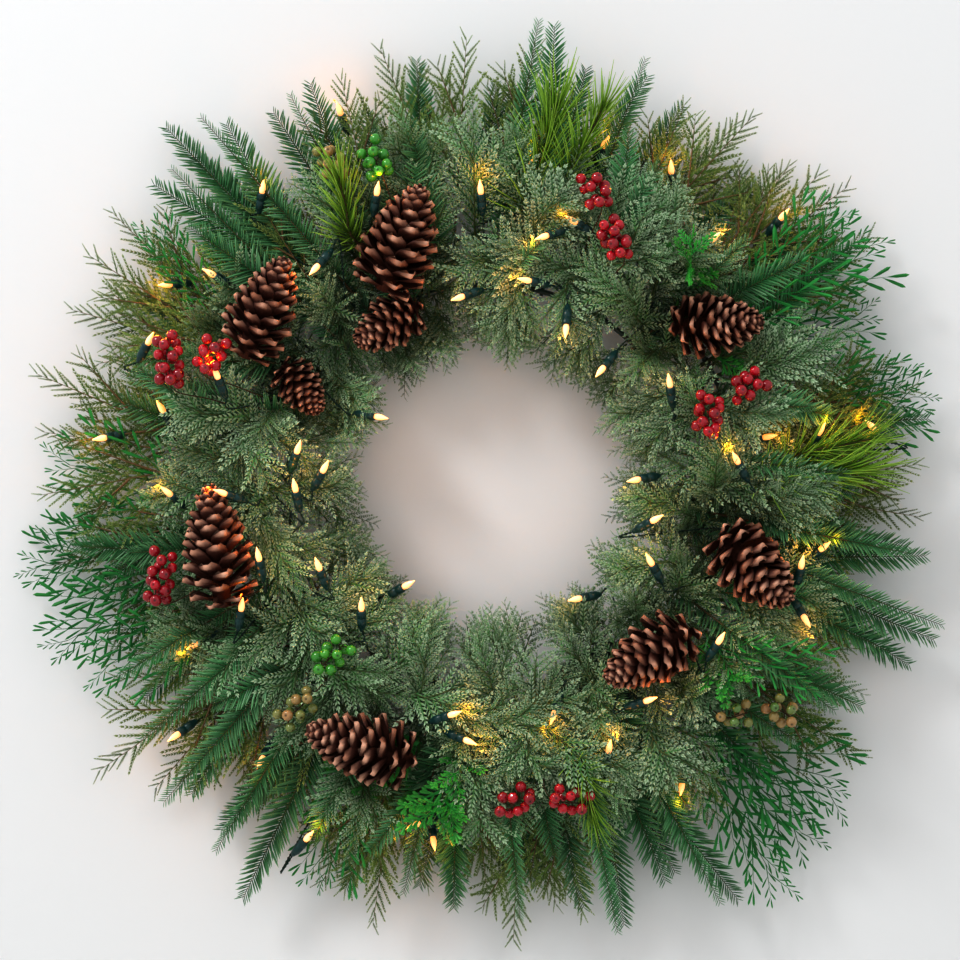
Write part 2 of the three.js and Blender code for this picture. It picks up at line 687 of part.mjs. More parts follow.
// Lays a flat spray along a curve, with its face turned towards a direction and its sides drooping.
function bendAlong(geometry, long, curve, facing, droop) {
  const positions = geometry.getAttribute("position");
  geometry.computeBoundingBox();
  const halfWide = Math.max(geometry.boundingBox.max.y, -geometry.boundingBox.min.y);
  const side = facing.clone().cross(curve.getPoint(1).sub(curve.getPoint(0))).normalize();
  for (let i = 0; i < positions.count; i++) {
    const t = THREE.MathUtils.clamp(positions.getX(i) / long, 0, 1);
    const [y, z] = [positions.getY(i), positions.getZ(i)];
    const out = curve.getTangent(t).cross(side).normalize();
    const at = curve.getPoint(t).addScaledVector(side, y);
    at.addScaledVector(out, z - droop * (y / halfWide) ** 2);
    positions.setXYZ(i, at.x, at.y, at.z);
  }
  return geometry;
}

// One spray: its foot in the bound stem, its back over a crest, its tip at a place.
function spray(kindName, foot, crest, tip, wide, facing) {
  const kind = KINDS[kindName];
  const curve = new THREE.QuadraticBezierCurve3(foot, crest, tip);
  const long = curve.getLength();
  const flat = thicken(flatSpray(kind, long, wide), BLADE_THICK);
  return solidOf(bendAlong(flat, long, curve, facing, kind.droop));
}

// Each bough: its kind, the angle where its stem is bound, and its sprays. A spray has its tip's angle, radius
// and depth, then how far its back rises over the straight line, and its width.
const OUTER_BOUGHS = [
  ["fir", 78, [[82, 436, 40, 20, 44], [77, 404, 22, 12, 42], [69, 412, 36, 16, 42]]],
  ["cypress", 60, [[63, 402, 40, 12, 80], [56, 412, 16, 14, 84]]],
  ["cypress", 43, [[47, 412, 34, 12, 80], [40, 438, 20, 14, 86]]],
  ["yew", 30, [[33, 410, 34, 10, 92], [25, 384, 14, 12, 80]]],
  ["cypress", 14, [[17, 398, 36, 12, 84], [9, 404, 18, 12, 84]]],
  ["cypress", 0, [[3, 402, 38, 10, 84], [-4, 406, 16, 12, 84]]],
  ["fir", -16, [[-9, 414, 34, 12, 44], [-19, 440, 38, 14, 46], [-23, 430, 16, 14, 46]]],
  ["cedar", -32, [[-29, 402, 40, 14, 80], [-36, 394, 18, 14, 76]]],
  ["yew", -48, [[-42, 428, 30, 12, 88], [-48, 440, 16, 12, 90], [-54, 452, 36, 12, 88]]],
  ["fir", -65, [[-59, 454, 22, 16, 46], [-66, 404, 40, 14, 44], [-73, 432, 20, 16, 46]]],
  ["cypress", -83, [[-81, 396, 40, 12, 80], [-87, 428, 18, 14, 84]]],
  ["fir", -97, [[-95, 396, 38, 14, 44], [-100, 382, 20, 12, 42]]],
  ["cypress", -110, [[-105, 424, 34, 12, 84], [-113, 408, 16, 14, 84]]],
  ["fir", -125, [[-121, 450, 36, 14, 46], [-128, 412, 16, 14, 46]]],
  ["cypress", -143, [[-138, 424, 16, 12, 82], [-144, 452, 36, 14, 86]]],
  ["yew", -166, [[-160, 430, 34, 10, 90], [-170, 444, 18, 12, 92]]],
  ["cypress", 174, [[181, 420, 36, 12, 84], [173, 424, 14, 12, 82], [166, 438, 34, 12, 84]]],
  ["cypress", 152, [[157, 428, 16, 12, 82], [150, 434, 34, 12, 82], [144, 440, 16, 12, 82]]],
  ["fir", 131, [[138, 424, 36, 14, 46], [132, 456, 18, 14, 46], [126, 420, 38, 14, 46]]],
  ["fir", 118, [[120, 408, 16, 12, 44], [114, 414, 36, 12, 44]]],
  ["cypress", 98, [[104, 426, 16, 12, 84], [93, 420, 34, 12, 84]]],
];

// Cedar boughs in front: short sprays that lie over the outer ones, stand up from the crest, or reach into
// the hole.
const FRONT_BOUGHS = [
  ["cedar", 84, [[86, 330, 84, 30, 84], [72, 280, 112, 26, 80], [82, 112, 56, 46, 76]]],
  ["cedar", 56, [[58, 336, 76, 34, 84], [52, 270, 110, 26, 80], [57, 116, 50, 48, 76]]],
  ["cedar", 26, [[22, 326, 80, 30, 84], [18, 270, 108, 26, 78], [28, 112, 58, 46, 76]]],
  ["cedar", -4, [[-3, 318, 80, 32, 84], [-8, 118, 74, 46, 78], [5, 108, 40, 40, 66]]],
  ["cedar", -26, [[-26, 326, 84, 32, 84], [-34, 118, 70, 42, 78]]],
  ["cedar", -56, [[-58, 330, 82, 34, 84], [-62, 116, 60, 42, 78], [-48, 122, 30, 36, 64]]],
  ["cedar", -86, [[-84, 320, 80, 34, 84], [-90, 110, 66, 44, 78], [-76, 284, 108, 30, 78]]],
  ["cedar", -116, [[-112, 326, 74, 34, 84], [-114, 112, 58, 44, 76]]],
  ["cedar", -146, [[-146, 332, 78, 30, 84], [-144, 116, 68, 44, 78], [-130, 120, 30, 36, 64]]],
  ["cedar", 180, [[182, 326, 74, 32, 84], [180, 118, 74, 46, 78], [166, 124, 44, 36, 66]]],
  ["cedar", 146, [[152, 320, 100, 24, 80], [150, 126, 84, 44, 76]]],
  ["cedar", 110, [[106, 326, 80, 32, 84], [110, 114, 60, 46, 76]]],
];

// Arborvitae fans, which lie on top.
const ACCENT_BOUGHS = [
  ["arborvitae", -106, [[-103, 282, 112, 30, 76], [-112, 300, 92, 30, 76]]],
  ["arborvitae", 30, [[26, 252, 116, 28, 70]]],
];

// Each tuft: the angle of its stem, where its twig starts and ends, and its needles' count and length.
const PINE_TUFTS = [
  { slot: 80, from: [36, 262, 60], to: [62, 352, 66], needles: 11, needle: 46 },
  { slot: 4, from: [262, 10, 64], to: [340, 16, 72], needles: 11, needle: 46 },
  { slot: 116, from: [-128, 232, 74], to: [-138, 284, 100], needles: 9, needle: 34 },
];

// How a spray may be laid to find room: the degrees that it is turned, how far its tip is lifted, how far
// its back is raised, and the share of its width.
const SWINGS = [0, 2, -2, 4, -4, 7, -7, 10, -10, 14, -14, 18, -18];
const LIFTS = [0, 8, -8, 16, -16, 26, -26, 36];
const ARCHES = [0, 14, -10, 28, -20, 44];
const SHARES = [1, 0.82, 0.66];
// Whether a spray's foot is at the far end of its stem, so that it crosses both rings.
const NEAR_END = [false];
const FAR_END_FIRST = [true, false];
const OUTER_LEAN = 0.25; // how far a spray's face turns away from the middle, against 1 to the viewer
const FRONT_LEAN = 0.1;
const FOOT_SPACING = 8; // from one spray's foot to the next along the stem
const BARE_STEM = 30; // how near its stem a spray has no leaves
const LOWEST_TIP = 6; // how near the wall a tip may lie
const CREST_AT = 0.45; // where its back is highest, as a share of the way from foot to tip

// Sprays of one bough may meet only near their stem, where they are bare.
function leavesMeet(one, other, slot) {
  const shared = one.intersect(other);
  if (shared.isEmpty()) return false;
  const box = boxOf(shared);
  const bound = new THREE.Line3(polar(slot, INNER_RING, STEM_DEPTH), polar(slot, OUTER_RING, STEM_DEPTH));
  const away = (corner) => bound.closestPointToPoint(corner, true, new THREE.Vector3()).distanceTo(corner);
  return away(box.min) > BARE_STEM || away(box.max) > BARE_STEM;
}

// Where a bough's next spray is rooted on its stem, counting from the inner or the outer end.
function footOf(slot, atInnerEnd, index) {
  const along = FOOT_INSET + index * FOOT_SPACING;
  const radius = atInnerEnd ? INNER_RING - STEM_OVERHANG + along : OUTER_RING + STEM_OVERHANG - along;
  return polar(slot, radius, STEM_DEPTH);
}

function bough(name, kindName, wantedSlot, tips, { lean, across }) {
  const slot = slotNear(wantedSlot);
  const stem = boundStem(slot);
  take(name, stem);
  const ways = waysOf({ swing: SWINGS, lift: LIFTS, arch: ARCHES, share: SHARES, across });
  const sprays = [];
  tips.forEach(([degrees, radius, depth, rise, wide], index) => {
    const inward = radius < LOOP_RADIUS;
    const facing = polar(degrees, inward ? -lean : lean, 0).add(TOWARDS_VIEWER).normalize();
    const make = (way) => {
      const foot = footOf(slot, inward !== way.across, index);
      const tip = polar(degrees + way.swing, radius, Math.max(LOWEST_TIP, depth + way.lift));
      const crest = foot.clone().lerp(tip, CREST_AT);
      crest.y = -(Math.max(STEM_DEPTH, depth + way.lift) + rise + way.arch);
      return spray(kindName, foot, crest, tip, wide * way.share, facing);
    };
    const crosses = (tried) => sprays.some((other) => leavesMeet(tried, other, slot));
    sprays.push(layClear(name, ways, make, crosses));
  });
  put(name, fuse([stem, ...sprays]), kindName);
}

// Three-sided needles round a slim twig.
function pineTuft(from, to, count, needleLong) {
  const along = to.clone().sub(from).normalize();
  const side = along.clone().cross(TOWARDS_VIEWER).normalize();
  const front = side.clone().cross(along);
  const parts = [sweep([from, to], TUFT_TWIG)];
  for (let i = 0; i < count; i++) {
    const turn = rad(i * GOLDEN_ANGLE);
    const root = from.clone().lerp(to, TUFT_BARE + (TUFT_LEAFY * i) / (count - 1));
    const out = side.clone().multiplyScalar(Math.cos(turn)).addScaledVector(front, Math.sin(turn));
    const direction = along.clone().multiplyScalar(NEEDLE_FORWARD).add(out).normalize();
    const needle = new THREE.ConeGeometry(NEEDLE_RADIUS, needleLong, 3);
    needle.translate(0, needleLong / 2, 0);
    parts.push(aimed(needle, root, direction));
  }
  return fuse(parts);
}

ACCENT_BOUGHS.forEach(([kind, slot, tips], i) => {
  bough(`${kind}_accent_${i + 1}`, kind, slot, tips, { lean: 0, across: FAR_END_FIRST });
});

PINE_TUFTS.forEach((tuft, index) => {
  const name = "pine_tuft_" + (index + 1);
  const slot = slotNear(tuft.slot);
  const ways = waysOf({ right: TUFT_SHIFTS, forward: TUFT_LIFTS });
  const stem = boundStem(slot);
  take(name, stem);
  const solid = layClear(name, ways, ({ right, forward }) => {
    const shift = new THREE.Vector3(right, -forward, 0);
    const [from, to] = [place(...tuft.from).add(shift), place(...tuft.to).add(shift)];
    return fuse([pineTuft(from, to, tuft.needles, tuft.needle), twigUp(slot, from, TWIG_RADIUS)]);
  });
  put(name, fuse([stem, solid]), "pine");
});

OUTER_BOUGHS.forEach(([kind, slot, tips], i) => {
  bough(`${kind}_bough_${i + 1}`, kind, slot, tips, { lean: OUTER_LEAN, across: NEAR_END });
});
FRONT_BOUGHS.forEach(([kind, slot, tips], i) => {
  bough(`${kind}_front_${i + 1}`, kind, slot, tips, { lean: FRONT_LEAN, across: FAR_END_FIRST });
});

// ---------------------------------------------------------------- the wreath

const FINISHES = {
  steel: { color: 0x24382c, roughness: 0.45, metalness: 0.6 },
  box: { color: 0x1d3327, roughness: 0.5, metalness: 0 },
  wire: { color: 0x0f3b2c, roughness: 0.4, metalness: 0 },
  cone: { color: 0x6b3f2a, roughness: 0.7, metalness: 0 },
  red_berry: { color: 0xb3122a, roughness: 0.25, metalness: 0 },
  green_berry: { color: 0x6fae4a, roughness: 0.3, metalness: 0 },
  mixed_berry: { color: 0x6d7a45, roughness: 0.3, metalness: 0 },
  cedar: { color: 0x5f8560, roughness: 0.65, metalness: 0 },
  cypress: { color: 0x4d6338, roughness: 0.65, metalness: 0 },
  fir: { color: 0x2f6b47, roughness: 0.55, metalness: 0 },
  yew: { color: 0x3c8046, roughness: 0.5, metalness: 0 },
  pine: { color: 0x5d8424, roughness: 0.6, metalness: 0 },
  arborvitae: { color: 0x3f8c3d, roughness: 0.55, metalness: 0 },
};

const wreath = new THREE.Group();
wreath.position.set(0, HANGER_DEPTH, -HANGER_TOP);
for (const { name, solid, finish } of pieces) {
  const mesh = new THREE.Mesh(geometryOf(solid), new THREE.MeshStandardMaterial(FINISHES[finish]));
  mesh.name = name;
  wreath.add(mesh);
}

export default wreath;
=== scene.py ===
# A pre-lit mixed evergreen wreath, about 34 inches from tip to tip, hanging on a wall.
# Metres. X runs right, Z up and Y back into the wall. The origin is where a wall hook carries the wire loop.

import json
import math
import random

import bmesh
import bpy
from mathutils import Matrix, Vector

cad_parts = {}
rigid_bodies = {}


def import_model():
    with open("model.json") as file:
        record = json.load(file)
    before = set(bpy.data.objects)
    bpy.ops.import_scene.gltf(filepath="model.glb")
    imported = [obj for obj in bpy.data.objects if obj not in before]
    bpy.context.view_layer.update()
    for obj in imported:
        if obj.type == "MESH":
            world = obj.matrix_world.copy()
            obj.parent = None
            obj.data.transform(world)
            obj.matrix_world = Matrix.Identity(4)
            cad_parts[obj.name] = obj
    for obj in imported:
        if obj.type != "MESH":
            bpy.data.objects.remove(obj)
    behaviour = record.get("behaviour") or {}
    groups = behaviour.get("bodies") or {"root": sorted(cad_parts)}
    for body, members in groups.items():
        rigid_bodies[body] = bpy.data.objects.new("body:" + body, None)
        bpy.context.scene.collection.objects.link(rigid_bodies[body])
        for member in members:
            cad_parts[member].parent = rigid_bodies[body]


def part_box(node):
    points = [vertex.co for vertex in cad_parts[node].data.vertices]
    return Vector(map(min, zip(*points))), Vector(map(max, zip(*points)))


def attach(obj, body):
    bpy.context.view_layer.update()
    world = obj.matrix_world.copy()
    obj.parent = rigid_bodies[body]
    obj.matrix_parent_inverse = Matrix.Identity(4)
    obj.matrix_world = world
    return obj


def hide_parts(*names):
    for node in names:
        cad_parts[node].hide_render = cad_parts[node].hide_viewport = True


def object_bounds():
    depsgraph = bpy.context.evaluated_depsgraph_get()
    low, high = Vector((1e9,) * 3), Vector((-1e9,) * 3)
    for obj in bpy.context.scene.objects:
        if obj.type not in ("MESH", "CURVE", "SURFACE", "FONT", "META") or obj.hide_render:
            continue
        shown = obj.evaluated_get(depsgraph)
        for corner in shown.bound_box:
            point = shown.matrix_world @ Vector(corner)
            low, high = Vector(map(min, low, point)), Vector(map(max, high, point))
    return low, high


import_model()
cad_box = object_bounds()

# ---------------------------------------------------------------- camera
# A long lens straight in front of the wreath, level with its middle.

RING_DROP = 0.252  # the ring's centre hangs this far below the hook
HOOK_DEPTH = 0.004  # the hook carries the loop this far in front of the wall


def spot(right, up, depth):
    """A place in millimetres: right of and above the ring's centre, and in front of the wall."""
    return Vector((right / 1000, HOOK_DEPTH - depth / 1000, up / 1000 - RING_DROP))


def around(degrees, radius, depth):
    """A place in millimetres: its angle round the ring, its distance from the centre and its depth."""
    turn = math.radians(degrees)
    return spot(radius * math.cos(turn), radius * math.sin(turn), depth)


VIEW_MIDDLE = spot(-9.25, 6.5, 80)
VIEW_WIDTH = 0.888  # what the picture shows across the wreath's middle
CAMERA_AWAY = 3.0

camera_data = bpy.data.cameras.new("camera")
camera_data.lens = camera_data.sensor_width * CAMERA_AWAY / VIEW_WIDTH
camera = bpy.data.objects.new("camera", camera_data)
camera.location = VIEW_MIDDLE + Vector((0, -CAMERA_AWAY, 0))
camera.rotation_euler = (math.radians(90), 0, 0)
bpy.context.scene.collection.objects.link(camera)
bpy.context.scene.camera = camera

# ---------------------------------------------------------------- room
# A plain painted wall just behind the wreath, a plain pale floor, and soft studio light from the upper left.

WALL_GAP = 0.003  # between the wreath's back and the wall
FLOOR_LEVEL = -1.6
ROOM_SIZE = 9.0


def linear(hex_colour):
    """An sRGB hex colour as linear RGBA."""
    parts = [int(hex_colour[i : i + 2], 16) / 255 for i in (1, 3, 5)]
    return [c / 12.92 if c <= 0.04045 else ((c + 0.055) / 1.055) ** 2.4 for c in parts] + [1.0]


def add(tree, kind, settings=None, **inputs):
    """Adds a node, with its settings, its input values and the sockets that its inputs are linked from."""
    node = tree.nodes.new(kind)
    for name, value in (settings or {}).items():
        setattr(node, name, value)
    for name, value in inputs.items():
        wanted = name.replace("_", " ")
        socket = next(
            s
            for s in node.inputs if s.enabled and wanted in (s.name, s.identifier.replace("_", " "))
        )
        if isinstance(value, bpy.types.NodeSocket):
            tree.links.new(value, socket)
        else:
            socket.default_value = value
    return node


def material_with(name, **surface):
    """A material whose shader has the given sockets set. Gives the material, its tree and its shader."""
    material = bpy.data.materials.new(name)
    material.use_nodes = True
    tree = material.node_tree
    shader = tree.nodes["Principled BSDF"]
    for socket, value in surface.items():
        shader.inputs[socket.replace("_", " ")].default_value = value
    return material, tree, shader


def link(tree, socket, target):
    tree.links.new(socket, target)


def maths(tree, operation, one, *other):
    """A maths node's result. What it works on is numbers or sockets."""
    more = {"Value_001": other[0]} if other else {}
    return add(tree, "ShaderNodeMath", {"operation": operation}, Value=one, **more).outputs[0]


def vectors(tree, operation, one, **more):
    """A vector maths node's result."""
    return add(tree, "ShaderNodeVectorMath", {"operation": operation}, Vector=one, **more).outputs[0]


def blend(tree, one, other, factor):
    """A colour between two others."""
    return add(tree, "ShaderNodeMix", {"data_type": "RGBA"}, A=one, B=other, Factor=factor).outputs["Result"]


def noise(tree, scale, detail=2.0):
    return add(tree, "ShaderNodeTexNoise", Scale=scale, Detail=detail).outputs["Fac"]


def roughened(tree, shader, height, distance, strength):
    """Gives a surface a fine relief."""
    bump = add(tree, "ShaderNodeBump", Height=height, Distance=distance, Strength=strength)
    link(tree, bump.outputs[0], shader.inputs["Normal"])


def mottled(name, one, other, scale, detail=2.0, **surface):
    """A material whose colour wanders between two."""
    material, tree, shader = material_with(name, **surface)
    tone = blend(tree, linear(one), linear(other), noise(tree, scale, detail))
    link(tree, tone, shader.inputs["Base Color"])
    return material


def mesh_object(name, vertices, faces, smooth=False):
    mesh = bpy.data.meshes.new(name)
    mesh.from_pydata([tuple(v) for v in vertices], [], faces)
    if smooth:
        mesh.shade_smooth()
    made = bpy.data.objects.new(name, mesh)
    bpy.context.scene.collection.objects.link(made)
    return made


# Matt emulsion paint, rolled on: a faint stipple. From behind it is clear, so that the wreath's back shows.
wall_paint, tree, shader = material_with("matt_emulsion_paint", Base_Color=linear("#e6e7e9"), Roughness=0.9)
roughened(tree, shader, noise(tree, 900.0), 0.0002, 0.3)
clear = add(tree, "ShaderNodeBsdfTransparent")
side = add(tree, "ShaderNodeNewGeometry")
shown = add(tree, "ShaderNodeMixShader")
link(tree, side.outputs["Backfacing"], shown.inputs[0])
link(tree, shader.outputs[0], shown.inputs[1])
link(tree, clear.outputs[0], shown.inputs[2])
link(tree, shown.outputs[0], tree.nodes["Material Output"].inputs["Surface"])

wall_y = HOOK_DEPTH + WALL_GAP
half = ROOM_SIZE / 2
wall_corners = [
    (-half, wall_y, FLOOR_LEVEL), (half, wall_y, FLOOR_LEVEL), (half, wall_y, half), (-half, wall_y, half),
]
wall = mesh_object("wall", wall_corners, [(0, 1, 2, 3)])
wall.data.materials.append(wall_paint)

pale = linear("#d4d2cd")
floor_paint = mottled("pale_screed", "#d4d2cd", "#c9c7c1", 6.0, 6.0, Base_Color=pale, Roughness=0.8)
floor_corners = [
    (-half, -half, FLOOR_LEVEL), (half, -half, FLOOR_LEVEL), (half, half, FLOOR_LEVEL),
    (-half, half, FLOOR_LEVEL),
]
floor = mesh_object("floor", floor_corners, [(0, 1, 2, 3)])
floor.data.materials.append(floor_paint)


def soft_light(name, at, size, watts, colour="#ffffff"):
    lamp_data = bpy.data.lights.new(name, "AREA")
    lamp_data.size = size
    lamp_data.energy = watts
    lamp_data.color = linear(colour)[:3]
    lamp = bpy.data.objects.new(name, lamp_data)
    lamp.location = at
    lamp.rotation_euler = (VIEW_MIDDLE - Vector(at)).to_track_quat("-Z", "Y").to_euler()
    bpy.context.scene.collection.objects.link(lamp)


soft_light("key", (-3.0, -2.6, 3.1), 1.1, 140)
soft_light("fill", (1.4, -3.0, 1.0), 2.4, 5)
world = bpy.data.worlds.new("studio")
bpy.context.scene.world = world
world.use_nodes = True
world.node_tree.nodes["Background"].inputs["Color"].default_value = linear("#f6f7f7")
world.node_tree.nodes["Background"].inputs["Strength"].default_value = 0.96
bpy.context.scene.view_settings.view_transform = "Standard"
bpy.context.scene.view_settings.gamma = 0.72

# ---------------------------------------------------------------- ring frame
# Two rings and six crossbars of 5 mm and 3.6 mm steel wire, spot-welded and dipped in green enamel, with a
# bent wire loop on top. The stems of all the sprays are bound across both rings.

INNER_RING = 190
OUTER_RING = 235
RING_WIRE = 2.5
RING_DEPTH = 32
CROSSBAR_WIRE = 1.8
HANGER_WIRE = 1.5


def tube(vertices, faces, places, radii, sides=8):
    """Adds a round wire drawn through a list of places to lists of vertices and faces."""
    first = len(vertices)
    closed = (places[0] - places[-1]).length < 1e-6
    points = places[:-1] if closed else places
    count = len(points)
    side = Vector((0.1, -1, 0.1))
    for i, at in enumerate(points):
        before = points[i - 1] if closed or i else points[0]
        after = points[(i + 1) % count] if closed or i + 1 < count else points[-1]
        along = (after - before).normalized()
        side = (side - along * side.dot(along)).normalized()
        up = along.cross(side)
        radius = radii[i] if isinstance(radii, list) else radii
        for j in range(sides):
            turn = 2 * math.pi * j / sides
            vertices.append(at + side * (radius * math.cos(turn)) + up * (radius * math.sin(turn)))
    for i in range(count if closed else count - 1):
        here, there = first + i * sides, first + ((i + 1) % count) * sides
        for j in range(sides):
            k = (j + 1) % sides
            faces.append((here + j, here + k, there + k, there + j))
    if not closed:
        faces.append(tuple(first + j for j in reversed(range(sides))))
        faces.append(tuple(first + (count - 1) * sides + j for j in range(sides)))


wire_vertices, wire_faces = [], []
for ring_radius in (INNER_RING, OUTER_RING):
    ring_places = [around(a, ring_radius, RING_DEPTH) for a in range(0, 361, 3)]
    tube(wire_vertices, wire_faces, ring_places, RING_WIRE / 1000, 10)
for k in range(6):
    bar = [
        around(15 + 60 * k, r, RING_DEPTH - RING_WIRE * 0.6)
        for r in (INNER_RING - 4, 212, OUTER_RING + 4)
    ]
    tube(wire_vertices, wire_faces, bar, CROSSBAR_WIRE / 1000)
loop_lip = [spot(-13, 232, 29), spot(-13.5, 240, 22), spot(-12, 247, 9), spot(-7, 251, 4.6)]
hanger_places = loop_lip + [spot(0, 252, 4)] + [Vector((-p.x, p.y, p.z)) for p in reversed(loop_lip)]
tube(wire_vertices, wire_faces, hanger_places, HANGER_WIRE / 1000)
ring_frame = mesh_object("ring_frame_wires", wire_vertices, wire_faces, smooth=True)

# Dipped enamel on steel: dark green, glossy in the runs and duller where it is thin.
enamel, tree, shader = material_with("green_dipped_enamel", Base_Color=linear("#1f3a2b"), Coat_Weight=0.4)
thin = noise(tree, 220.0, 3.0)
gloss = add(tree, "ShaderNodeMapRange", Value=thin, To_Min=0.28, To_Max=0.55)
link(tree, gloss.outputs[0], shader.inputs["Roughness"])
roughened(tree, shader, thin, 0.0003, 0.4)
ring_frame.data.materials.append(enamel)
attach(ring_frame, "root")
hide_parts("ring_frame")

# ---------------------------------------------------------------- battery box
# A moulded ABS box for three AA cells behind the rings, with a screwed lid at the back and a slide switch.

BOX_ALONG, BOX_ACROSS, BOX_DEEP = 72, 66, 24
BOX_ANGLE = -62


def bevelled_box(name, size, middle, turn, radius, segments=3):
    """A box with rounded edges: size in millimetres, turned about the depth axis."""
    half_size = [s / 2000 for s in size]
    corners = [(x, y, z) for x in (-1, 1) for y in (-1, 1) for z in (-1, 1)]
    vertices = [Vector([c[i] * half_size[i] for i in range(3)]) for c in corners]
    faces = [(0, 1, 3, 2), (4, 6, 7, 5), (0, 4, 5, 1), (2, 3, 7, 6), (0, 2, 6, 4), (1, 5, 7, 3)]
    made = mesh_object(name, vertices, faces)
    bevel = made.modifiers.new("edges", "BEVEL")
    bevel.width = radius / 1000
    bevel.segments = segments
    baked = bpy.data.meshes.new_from_object(made.evaluated_get(bpy.context.evaluated_depsgraph_get()))
    made.modifiers.clear()
    baked.transform(Matrix.Translation(middle) @ Matrix.Rotation(turn, 4, "Y"))
    made.data = baked
    return made


def joined(name, pieces):
    """Joins objects into one, whose place is in its mesh."""
    bpy.ops.object.select_all(action="DESELECT")
    for piece in pieces:
        piece.select_set(True)
    bpy.context.view_layer.objects.active = pieces[0]
    bpy.ops.object.join()
    pieces[0].name = name
    return pieces[0]


box_low, box_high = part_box("battery_box")
box_middle = (box_low + box_high) / 2
box_turn = math.radians(-BOX_ANGLE)
box_out = (around(BOX_ANGLE, 1, 0) - spot(0, 0, 0)).normalized()
box_along = Vector((-box_out.z, 0, box_out.x))


def on_box(across, along, back):
    """A place on the box in millimetres from its middle; back is towards the wall."""
    return box_middle + box_out * (across / 1000) + box_along * (along / 1000) + Vector((0, back / 1000, 0))


shell = bevelled_box("shell", (BOX_ACROSS, BOX_DEEP - 3, BOX_ALONG), on_box(0, 0, -1.5), box_turn, 4)
lid = bevelled_box(
    "lid", (BOX_ACROSS - 3, 3.4, BOX_ALONG - 10), on_box(0, -3, BOX_DEEP / 2 - 1.7), box_turn, 1,
)
switch_well = bevelled_box(
    "well", (16, 1.4, 6), on_box(0, BOX_ALONG / 2 - 4, BOX_DEEP / 2 - 2.6), box_turn, 0.5,
)
switch_knob = bevelled_box(
    "knob", (5, 2.2, 4), on_box(-4, BOX_ALONG / 2 - 4, BOX_DEEP / 2 - 1.6), box_turn, 0.6,
)
trim = [shell, lid, switch_well, switch_knob]
for across in (-24, 24):
    screw_vertices, screw_faces = [], []
    screw = [on_box(across, -26, BOX_DEEP / 2 - depth) for depth in (1.4, 0.5, 0.2)]
    tube(screw_vertices, screw_faces, screw, [0.0028, 0.0028, 0.0022], 16)
    trim.append(mesh_object("screw", screw_vertices, screw_faces, smooth=True))
for rib in range(7):
    grip = on_box(0, -28 - rib * 1.6 + 8, BOX_DEEP / 2 + 0.1)
    trim.append(bevelled_box("grip", (18, 0.8, 0.8), grip, box_turn, 0.3, 1))
battery_box = joined("battery_box_shell", trim)

# Moulded ABS: an even dark green with a fine spark-eroded grain.
abs_plastic, tree, shader = material_with("moulded_green_abs", Base_Color=linear("#173326"), Roughness=0.42)
roughened(tree, shader, noise(tree, 1600.0), 0.0001, 0.5)
battery_box.data.materials.clear()
battery_box.data.materials.append(abs_plastic)
for polygon in battery_box.data.polygons:
    polygon.material_index = 0
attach(battery_box, "root")
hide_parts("battery_box")

# ---------------------------------------------------------------- light string
# PVC-covered wires twisted in pairs behind the rings, with a lead out to each light: a moulded socket with a
# pointed mini bulb pushed into it. The sockets are tucked among the sprays and the bulbs stand free of them.

LOOP_RADIUS, LOOP_DEPTH = 212.5, 28.6
LOOP_WIRE, LEAD_WIRE = 1.3, 0.8
SOCKET_LENGTH, BULB_LENGTH = 20, 16

# Each light: where its bulb is (right, up, in front of the wall) and the angle from +X that it points at.
LIGHTS = [
    (-99, 64, 92, 350), (-211, 281, 64, 80), (-262, 200, 70, 150), (-305, 189, 48, 185), (-307, 76, 66, 120),
    (-366, 45, 50, 190), (-301, -3, 76, 140), (-175, 38, 112, 70), (-150, 20, 118, 60), (-179, 3, 116, 100),
    (-31, 173, 104, 200), (-9, 277, 100, 95), (109, 323, 58, 60), (37, 304, 72, 95), (169, 300, 54, 95),
    (73, 246, 108, 150), (30, 190, 112, 170), (69, 141, 116, 265), (100, 105, 104, 230), (164, 99, 108, 100),
    (209, 232, 84, 40), (276, 256, 50, 50), (354, 59, 52, 140), (260, 47, 84, 10), (131, 6, 92, 190),
    (-212, -60, 122, 100), (-158, -69, 118, 110), (-118, -106, 108, 90), (-277, -148, 70, 210),
    (
        -296, -234, 56, 215,
    ), (-214, -257, 66, 240), (-168, -325, 50, 50), (-52, -333, 64, 280), (-31, -207, 110, 20),
    (154, -28, 110, 30), (77, -104, 84, 190), (289, -68, 80, 80), (148, -194, 112, 20), (57, -213, 102, 250),
    (178, -282, 62, 260),
]
MORE_LIGHTS = [
    (-312, 138, 96, 60), (
        -251, 106, 118, 110,
    ), (-162, 198, 112, 230), (-103, 275, 108, 80), (-142, 356, 40, 110),
    (-248, -4, 118, 160), (46, 228, 116, 200), (224, 28, 112, 120), (307, 55, 84, 60), (-227, -106, 112, 80),
    (-74, -89, 84, 30), (-17, -234, 108, 340), (145, -65, 114, 120), (312, -54, 70, 40), (293, -125, 84, 300),
    (212, -137, 112, 60), (110, -237, 100, 80), (-72, -314, 76, 200),
]
LIGHT_LEAN = 0.45  # how far a bulb leans towards the viewer


def tree_with(name, **inputs):
    """A Geometry Nodes tree with named inputs. Gives the tree and its input and output nodes."""
    tree = bpy.data.node_groups.new(name, "GeometryNodeTree")
    tree.interface.new_socket("Guides", in_out="INPUT", socket_type="NodeSocketGeometry")
    for socket, kind in inputs.items():
        tree.interface.new_socket(socket.replace("_", " "), in_out="INPUT", socket_type="NodeSocket" + kind)
    tree.interface.new_socket("Result", in_out="OUTPUT", socket_type="NodeSocketGeometry")
    return tree, tree.nodes.new("NodeGroupInput").outputs, tree.nodes.new("NodeGroupOutput").inputs


